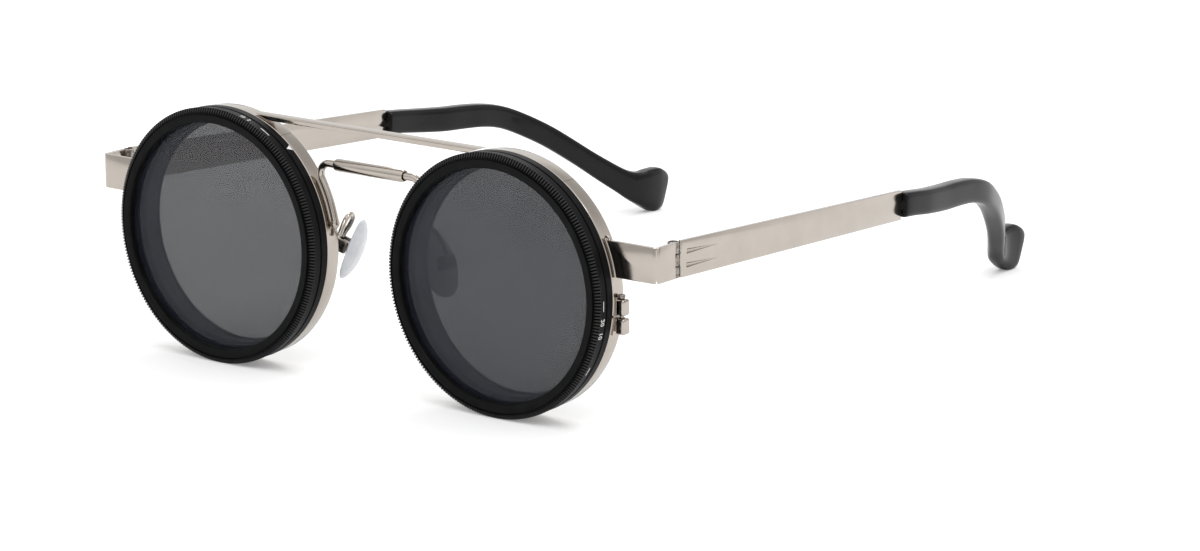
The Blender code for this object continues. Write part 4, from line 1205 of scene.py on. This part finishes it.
@dataclass
class Temple(Sided):
    """The flat blade with its pressed darts, its knuckle, and the curved black tip."""

    hinge: Point = HINGE
    start: Vector = field(default_factory=lambda: Vector((0.65, 0.65, 0.0)))
    length: float = 75.6
    root_height: float = 7.0
    end_height: float = 5.9
    thickness: float = 0.9
    inward: float = 2.8
    drop: float = 4.2
    tang: Point = (9.0, 1.8)
    knuckle_height: float = 2.13
    knuckle_radius: float = 1.1
    bore_radius: float = 0.7
    dart_start: float = 2.0
    dart_length: float = 10.0
    dart_radius: float = 0.5
    dart_spacing: float = 2.6
    pit_radius: float = 0.42
    dimple_radius: float = 0.45
    dimple_share: float = 0.62
    tip_length: float = 70.9
    tip_inset: float = 19.0
    tip_drop: float = 26.06
    tip_height: float = 4.68
    tip_width: float = 3.2
    tip_power: float = 4.0
    # Shares of the length, inset, drop, height and width for each section of the tip
    tip_shares: Sequence[Point] = (
        (0.00, 0.00, 0.00, 1.06, 1.05), (0.02, 0.00, 0.003, 1.07, 1.10),
        (0.064, 0.008, 0.015, 1.07, 1.12), (0.12, 0.024, 0.035, 1.085, 1.15),
        (0.177, 0.056, 0.053, 1.105, 1.16), (0.24, 0.094, 0.07, 1.12, 1.16),
        (0.313, 0.130, 0.082, 1.11, 1.15), (0.385, 0.166, 0.10, 1.08, 1.14),
        (0.444, 0.194, 0.13, 1.052, 1.13), (0.50, 0.236, 0.18, 1.03, 1.13),
        (0.562, 0.321, 0.263, 1.023, 1.16), (0.625, 0.425, 0.365, 1.01, 1.24),
        (0.684, 0.533, 0.481, 0.995, 1.23), (0.74, 0.645, 0.60, 1.00, 1.21),
        (0.792, 0.768, 0.715, 1.07, 1.165), (0.8385, 0.882, 0.812, 1.155, 1.15),
        (0.875, 0.962, 0.87, 1.43, 1.21), (0.914, 1.002, 0.900, 1.83, 1.25),
        (0.952, 1.014, 0.926, 2.09, 1.24), (0.98, 1.01, 0.947, 1.95, 1.14),
        (1.00, 1.008, 0.968, 1.66, 0.94),
    )

    def turn(self) -> Matrix:
        """Return the turn that lays the blade's long side along the temple."""
        inward = math.atan2(self.inward, self.length)
        drop = math.atan2(self.drop, self.length)
        return rolled("Z", inward) @ rolled("X", -drop)

    def blade(self) -> BMesh:
        """Cut the blade with its tang, round its edges, and press the darts and a dimple."""
        root, end, tang = self.root_height / 2, self.end_height / 2, self.tang[1] / 2
        far = self.length + self.tang[0]
        outline = [
            (0, -root), (self.length, -end), (self.length, -tang), (far, -tang),
            (far, tang), (self.length, tang), (self.length, end), (0, root),
        ]
        half = self.thickness / 2
        blade = Shaper.round_edges(Shaper.slab(outline, -half, half), 0.16, 2, 40)
        upright = rolled("Z") @ rolled("X")
        for upward in (1, -1):
            middle = self.dart_start + self.dart_length / 2
            lie = at(middle, upward * self.dart_spacing / 2, half + 0.03) @ rolled("Y")
            dart = Shaper.post(
                self.dart_radius, self.dart_length, lie, end_radius=0.04, segments=20,
            )
            blade = Shaper.carve(blade, dart)
            pit = at(self.dart_start + 0.35, upward * self.dart_spacing / 2, half)
            blade = Shaper.carve(blade, Shaper.post(self.pit_radius, 0.9, pit, segments=18))
        dimple = at(self.length * self.dimple_share, 0.2, -half - 0.1)
        ball = bmesh.new()
        radius = self.dimple_radius
        bmesh.ops.create_icosphere(ball, subdivisions=3, radius=radius, matrix=dimple)
        blade = Shaper.carve(blade, ball)
        return Shaper.moved(blade, Matrix.Translation(self.start) @ self.turn() @ upright)

    def notched(self) -> BMesh:
        """Notch the blade's root round the outer knuckles."""
        blade = self.blade()
        space = (self.root_height - self.knuckle_height) / 2 + 1
        for upward in (1, -1):
            rise = at(0, 0, upward * (self.knuckle_height + space) / 2)
            blade = Shaper.carve(blade, Shaper.post(self.knuckle_radius + 0.3, space, rise))
        return blade

    def knuckle(self) -> BMesh:
        """Return the temple's own bored knuckle."""
        bore = Shaper.post(self.bore_radius, self.knuckle_height + 1)
        return Shaper.carve(Shaper.post(self.knuckle_radius, self.knuckle_height, edge=0.1), bore)

    def tip(self) -> BMesh:
        """Loft the curved tip through squarish sections and round the edge of its mouth."""
        base = self.start + Vector((-self.inward, self.length + 0.2, -self.drop))
        points, sizes = [], []
        for along, inward, down, height, width in Shaper.smooth_route(self.tip_shares, 3):
            x, y, z = -inward * self.tip_inset, along * self.tip_length, -down * self.tip_drop
            points.append(base + Vector((x, y, z)))
            sizes.append((width * self.tip_width / 2, height * self.tip_height / 2))
        places = []
        for point, forward, size in zip(points, Shaper.headings(points), sizes):
            sideways = forward.cross(Vector((0, 0, 1))).normalized()
            places.append(Shaper.section(point, sideways, forward, size))
        return Shaper.round_edges(Shaper.loft(places, 56, self.tip_power), 0.3, 3, 62)

    def build(self, bench: Bench) -> None:
        """Make the blade, its knuckle and the tip."""
        body = self.side.named("temple")
        hinge = at(*self.hinge)
        self.put(bench, "blade", Shaper.moved(self.notched(), hinge), SILVER, "temple_blade", body)
        self.put(bench, "inner_knuckle", Shaper.moved(self.knuckle(), hinge), STEEL, body=body)
        self.put(bench, "tip_sleeve", Shaper.moved(self.tip(), hinge), ACETATE, "temple_tip", body)


@dataclass
class NosePad(Sided):
    """One soft pad with its clip box, screw and bent arm."""

    x: float = 10.8
    y: float = 13.9
    z: float = -1.9
    splay: float = math.radians(15)
    lean: float = math.radians(21)
    pivot_depth: float = 2.1
    length: float = 12.8
    width: float = 7.7
    dome: float = 1.3
    back: float = 0.7
    taper: float = 0.10
    curl: float = 0.42
    lift: float = 0.12
    lug: Point = (1.1, 1.8, 2.8)
    box_width: float = 3.0
    box_height: float = 2.6
    box_front: float = 0.9
    box_back: float = 1.84
    arm_radius: float = 0.5
    arm_rise: float = 5.0
    rim_inner_x: float = 9.7
    rim_end: float = RIM_BACK
    # Shares of the reach towards the rim, forward and upward for each bend of the arm
    arm_shares: Sequence[Point] = (
        (1.00, 1.00, 0.36), (0.98, 0.66, 0.90), (0.83, 0.26, 1.00), (0.64, 0.02, 0.80),
        (0.31, -0.06, 0.42), (0.06, -0.02, 0.14), (0.00, 0.00, 0.00),
    )

    def place(self) -> Matrix:
        """Return the left pad's frame: X across, Y up its length, Z towards the nose."""
        toward = Vector((-math.cos(self.splay), math.sin(self.splay), 0))
        across = Vector((math.sin(self.splay), math.cos(self.splay), 0))
        lean = Matrix.Rotation(-self.lean, 4, across)
        upward = lean @ Vector((0, 0, 1))
        toward = lean @ toward
        spot = Vector((self.x, self.y, self.z)) - toward * self.pivot_depth
        return Matrix.Translation(spot) @ basis(upward.cross(toward), upward, toward)

    def pad(self) -> BMesh:
        """Return the domed pad with its bored lug."""
        bm = bmesh.new()
        bmesh.ops.create_uvsphere(bm, u_segments=40, v_segments=28, radius=1.0)
        for vert in bm.verts:
            x, y, z = vert.co
            swell = 1.0 + self.taper * -y
            thick = self.dome if z > 0 else self.back
            bulge = 1 - 0.14 * y * y
            vert.co = Vector((
                x * self.width / 2 * swell, y * self.length / 2,
                z * thick - self.curl * y * y + self.lift * bulge,
            ))
        bmesh.ops.translate(bm, vec=(0, 0, self.pivot_depth), verts=bm.verts)
        lug = Shaper.block(self.lug, at(0, 0, 0.7), 0.15)
        pad = Shaper.carve(bm, lug, Cut.JOINED)
        bore = Shaper.post(0.6, 2.2, rolled("Y"))
        return Shaper.moved(Shaper.carve(pad, bore), self.place())

    def box(self) -> BMesh:
        """Return the clip box with its channel and the screw's holes."""
        depth = self.box_front + self.box_back
        middle = at(0, 0, (self.box_front - self.box_back) / 2)
        box = Shaper.block((self.box_width, self.box_height, depth), middle, 0.3)
        opening = at(0, 0, self.box_front + 1 - (depth + 0.5) / 2)
        box = Shaper.carve(box, Shaper.block((1.7, 4, depth + 0.5), opening))
        hole = Shaper.post(0.55, 5, rolled("Y"))
        return Shaper.moved(Shaper.carve(box, hole), self.place())

    def screw(self) -> BMesh:
        """Return the cross screw, its head towards the front."""
        turn = rolled("Y", -QUARTER) @ at(0, 0, self.box_width / 2 + 0.2)
        head = ScrewHead(
            0.7, head_height=0.3, shank_radius=0.35, slot_width=0.22, slot_depth=0.15, edge=0.08,
        )
        return head.shape(self.box_width, self.place() @ turn @ rolled("Z", 0.7))

    def arm(self) -> BMesh:
        """Bend the arm from the rim's side up, back and down to the clip box."""
        top = self.place() @ Vector((0, self.box_height / 2 + 0.3, -self.box_back / 2))
        seat_x = self.rim_inner_x - 0.3 - self.arm_radius
        reach, forward, rise = top.x - seat_x, top.y - self.rim_end + 0.7, self.arm_rise
        points = [top + Vector((-a * reach, -b * forward, c * rise)) for a, b, c in self.arm_shares]
        return Shaper.wire(Shaper.smooth_route(points, 7), self.arm_radius)

    def build(self, bench: Bench) -> None:
        """Make the pad, its box, screw and arm."""
        self.put(bench, "soft_pad", self.pad(), SILICONE, "nose_pad", self.side.named("pad"))
        self.put(bench, "clip_box", self.box(), STEEL, "pad_box")
        self.put(bench, "clip_screw", self.screw(), STEEL, "pad_screw")
        self.put(bench, "bent_arm", self.arm(), SILVER, "pad_arm")


@dataclass
class Bridges:
    """The top bar, the lower wire and its sleeve."""

    ring_x: float
    rim_radius: float = RIM_RADIUS
    depth_y: float = 6.7
    bar_half: float = 29.2
    bar_drop: float = 1.75
    bar_height: float = 1.2
    bar_depth: float = 2.2
    wire_radius: float = 0.75
    wire_height: float = 16.5
    wire_bend: float = 2.2
    foot_angle: float = math.radians(10)
    sleeve_half: float = 8.6
    sleeve_wall: float = 0.3
    lump_radii: Point = (0.78, 0.95, 1.05)

    def bar(self) -> BMesh:
        """Lay the top bar between the rims, just below their tops, and saddle its ends on them."""
        middle = self.rim_radius - self.bar_drop + self.bar_height / 2
        size = (2 * self.bar_half, self.bar_depth, self.bar_height)
        bar = Shaper.block(size, at(0, self.depth_y, middle), 0.25)
        for sign in (1, -1):
            spot = at(sign * self.ring_x, self.depth_y, 0) @ rolled("X")
            bar = Shaper.carve(bar, Shaper.post(self.rim_radius + SEAT_GAP, 20, spot, segments=256))
        return bar

    def route(self) -> list[Vector]:
        """Return the lower bridge's route, from one rim to the other."""
        along = self.rim_radius + SEAT_GAP + self.wire_radius
        straight = self.wire_height - self.wire_bend
        bend_x = self.ring_x - math.sqrt((along + self.wire_bend) ** 2 - straight ** 2)
        leave = math.asin(straight / (along + self.wire_bend))
        foot = Shaper.arc((self.ring_x, 0), along, math.pi - self.foot_angle, math.pi - leave, 16)
        corner = Shaper.arc((bend_x, straight), self.wire_bend, -leave, QUARTER, 18)
        half = foot + corner[1:]
        mirrored = [Vector((-point.x, point.y)) for point in reversed(half)]
        return [Vector((point.x, self.depth_y, point.y)) for point in half + mirrored]

    def wire(self) -> BMesh:
        """Bend the lower bridge, with a lump of solder at each foot."""
        route = self.route()
        wire = Shaper.wire(route, self.wire_radius, 20)
        for index, foot in enumerate((route[0], route[-1])):
            lump = bmesh.new()
            bmesh.ops.create_icosphere(lump, subdivisions=3, radius=1.0)
            bmesh.ops.scale(lump, vec=Vector(self.lump_radii), verts=lump.verts)
            shift = Vector((0.12 if index == 0 else -0.12, 0, 0.35))
            wire = Shaper.carve(wire, Shaper.moved(lump, foot + shift), Cut.JOINED)
        return wire

    def sleeve(self) -> BMesh:
        """Turn the tube that sits on the middle of the wire, with tapered ends."""
        inner = self.wire_radius + 0.2
        outer = inner + self.sleeve_wall
        half = self.sleeve_half
        profile = [
            (inner, -half), (outer - 0.2, -half), (outer, -half + 0.45), (outer, half - 0.45),
            (outer - 0.2, half), (inner, half),
        ]
        tube = Shaper.turned(profile, 48)
        turn = at(0, self.depth_y, self.wire_height) @ rolled("Z")
        return Shaper.moved(tube, turn)

    def build(self, bench: Bench) -> None:
        """Make the bar, the wire and the sleeve."""
        bench.add("brow_bar", self.bar(), SILVER, "front", ["top_bar"])
        bench.add("lower_bridge", self.wire(), SILVER, "front", ["bridge_wire"])
        bench.add("bridge_tube", self.sleeve(), SILVER, "front", ["bridge_sleeve"])


@dataclass
class Studio:
    """Floor, world, lamps and camera."""

    origin: Vector
    azimuth: float = math.radians(38.117)
    elevation: float = math.radians(13.747)
    roll: float = math.radians(-0.499)
    distance: float = 0.92842
    lens: float = 146.508
    aside: float = 0.047674
    above: float = -0.0031025
    world_seen: float = 1.0
    world_light: float = 0.95
    ceiling_gain: float = 0.2
    front_loss: float = 0.35
    # Direction, half spread in degrees and depth of the darker patches of the room
    dark_lobes: Sequence[Point] = (
        (0.09, 0.76, 0.64, 34, 0.48), (0.9, 0.35, 0.25, 30, 0.4), (-0.8, 0.2, 0.5, 35, 0.35),
    )
    # Name, place in metres, size in metres and power in watts of each lamp
    lamps: Sequence[tuple] = (
        ("key_lamp", (0.55, -0.45, 0.95), 0.5, 2.2), ("back_lamp", (-0.48, 0.68, 0.85), 0.26, 1.4),
        ("spark_lamp", (0.28, 0.55, 0.95), 0.1, 0.9),
    )

    def camera(self) -> None:
        """Place the camera at the photograph's viewing angle."""
        a, e = self.azimuth, self.elevation
        right = Vector((math.cos(a), math.sin(a), 0))
        forward = Vector((-math.sin(a) * math.cos(e), math.cos(a) * math.cos(e), -math.sin(e)))
        upward = right.cross(forward)
        target = self.origin + right * self.aside + upward * self.above
        lean = Matrix.Rotation(-self.roll, 3, forward)
        right, upward = lean @ right, lean @ upward
        data = bpy.data.cameras.new("camera")
        data.lens = self.lens
        data.sensor_width = 36.0
        data.clip_start, data.clip_end = 0.01, 20.0
        camera = bpy.data.objects.new("camera", data)
        bpy.context.scene.collection.objects.link(camera)
        turn = basis(right, upward, -forward)
        camera.matrix_world = Matrix.Translation(target - forward * self.distance) @ turn
        bpy.context.scene.camera = camera

    def floor(self) -> None:
        """Lay the pale floor."""
        bm = bmesh.new()
        bmesh.ops.create_grid(bm, x_segments=1, y_segments=1, size=6.0)
        mesh = bpy.data.meshes.new("floor")
        bm.to_mesh(mesh)
        bm.free()
        mesh.materials.append(PaleFloor("pale_floor").material())
        floor = bpy.data.objects.new("floor", mesh)
        bpy.context.scene.collection.objects.link(floor)

    def world(self) -> None:
        """Fill the room with white, dimmer in front and with dark patches in its mirror image."""
        world = bpy.data.worlds.new("room")
        world.use_nodes = True
        bpy.context.scene.world = world
        graph = Graph(world.node_tree)
        seen, mirrored = graph.rays()
        direction = graph.out("ShaderNodeTexCoord", output="Generated")
        x, y, z = graph.axes(direction)
        front = (y * -1.0).between(0.1, 0.9) * (1 - z.between(0.1, 0.7))
        ceiling = z.between(0.2, 0.9) * self.ceiling_gain
        level = self.world_light * (1.0 + ceiling - front * self.front_loss)
        for lobe in self.dark_lobes:
            level = level * (1.0 - mirrored * self._lobe(graph, direction, lobe))
        strength = level + seen * (self.world_seen - level)
        inputs = {"Color": (1, 1, 1), "Strength": strength}
        shader = graph.out("ShaderNodeBackground", inputs=inputs)
        graph.node("ShaderNodeOutputWorld", inputs={"Surface": shader})

    @staticmethod
    def _lobe(graph: Graph, direction: Signal, lobe: Sequence[float]) -> Signal:
        """Return how much a dark patch of the room dims one direction."""
        x, y, z, spread, depth = lobe
        settings = {"operation": "DOT_PRODUCT"}
        inputs = {0: direction, 1: tuple(Vector((x, y, z)).normalized())}
        facing = graph.out("ShaderNodeVectorMath", settings, inputs, "Value")
        return facing.between(math.cos(math.radians(spread)), 1.0) * depth

    def lamp(self, name: str, spot: Point, size: float, power: float) -> None:
        """Hang a soft square lamp that faces the glasses."""
        data = bpy.data.lights.new(name, "AREA")
        data.shape = "SQUARE"
        data.size = size
        data.energy = power
        lamp = bpy.data.objects.new(name, data)
        bpy.context.scene.collection.objects.link(lamp)
        lamp.location = Vector(spot)
        lamp.rotation_mode = "QUATERNION"
        lamp.rotation_quaternion = (Vector((0, 0, 0.02)) - Vector(spot)).to_track_quat("-Z", "Y")

    def build(self) -> None:
        """Set the whole stage."""
        self.camera()
        self.floor()
        self.world()
        for lamp in self.lamps:
            self.lamp(*lamp)
        bpy.context.scene.view_settings.view_transform = "Standard"


def joint_place(name: str) -> Vector:
    """Return the place of a joint in metres."""
    return next(Vector(joint["pos_m"]) for joint in frame["joints"] if joint["name"] == name)


def main() -> None:
    """Build the stage and every piece of the sunglasses."""
    logging.basicConfig(level=logging.INFO, format="%(message)s")
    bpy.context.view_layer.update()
    left = joint_place("filter_turn_left")
    origin = Vector((0, left.y, left.z))
    ring_x = left.x / MM
    bench = Bench(origin)
    Studio(origin).build()
    marks = {
        Side.LEFT: [
            Mark(math.radians(-1), 1.9, length=1.9), Mark(math.radians(-8), 1.9, "20", 1.1),
            Mark(math.radians(-14), 1.9, "10", 1.1), Mark(math.radians(-32), 1.9, length=1.9),
        ],
        Side.RIGHT: [
            Mark(math.radians(61), 2.0, length=2.4), Mark(math.radians(71), 2.0, "5", 0.9),
            Mark(math.radians(75), 2.0, "10", 0.9),
        ],
    }
    triangles = {Side.LEFT: None, Side.RIGHT: math.radians(49)}
    Bridges(ring_x).build(bench)
    for side in Side:
        FilterRings(
            side, Vector((side.value * ring_x, 0, 0)), marks_turning=marks[side],
            triangle_angle=triangles[side],
        ).build(bench)
        Rim(side, ring_x).build(bench)
        Endpiece(side, ring_x).build(bench)
        Temple(side).build(bench)
        NosePad(side).build(bench)


if __name__ == "__main__":
    main()
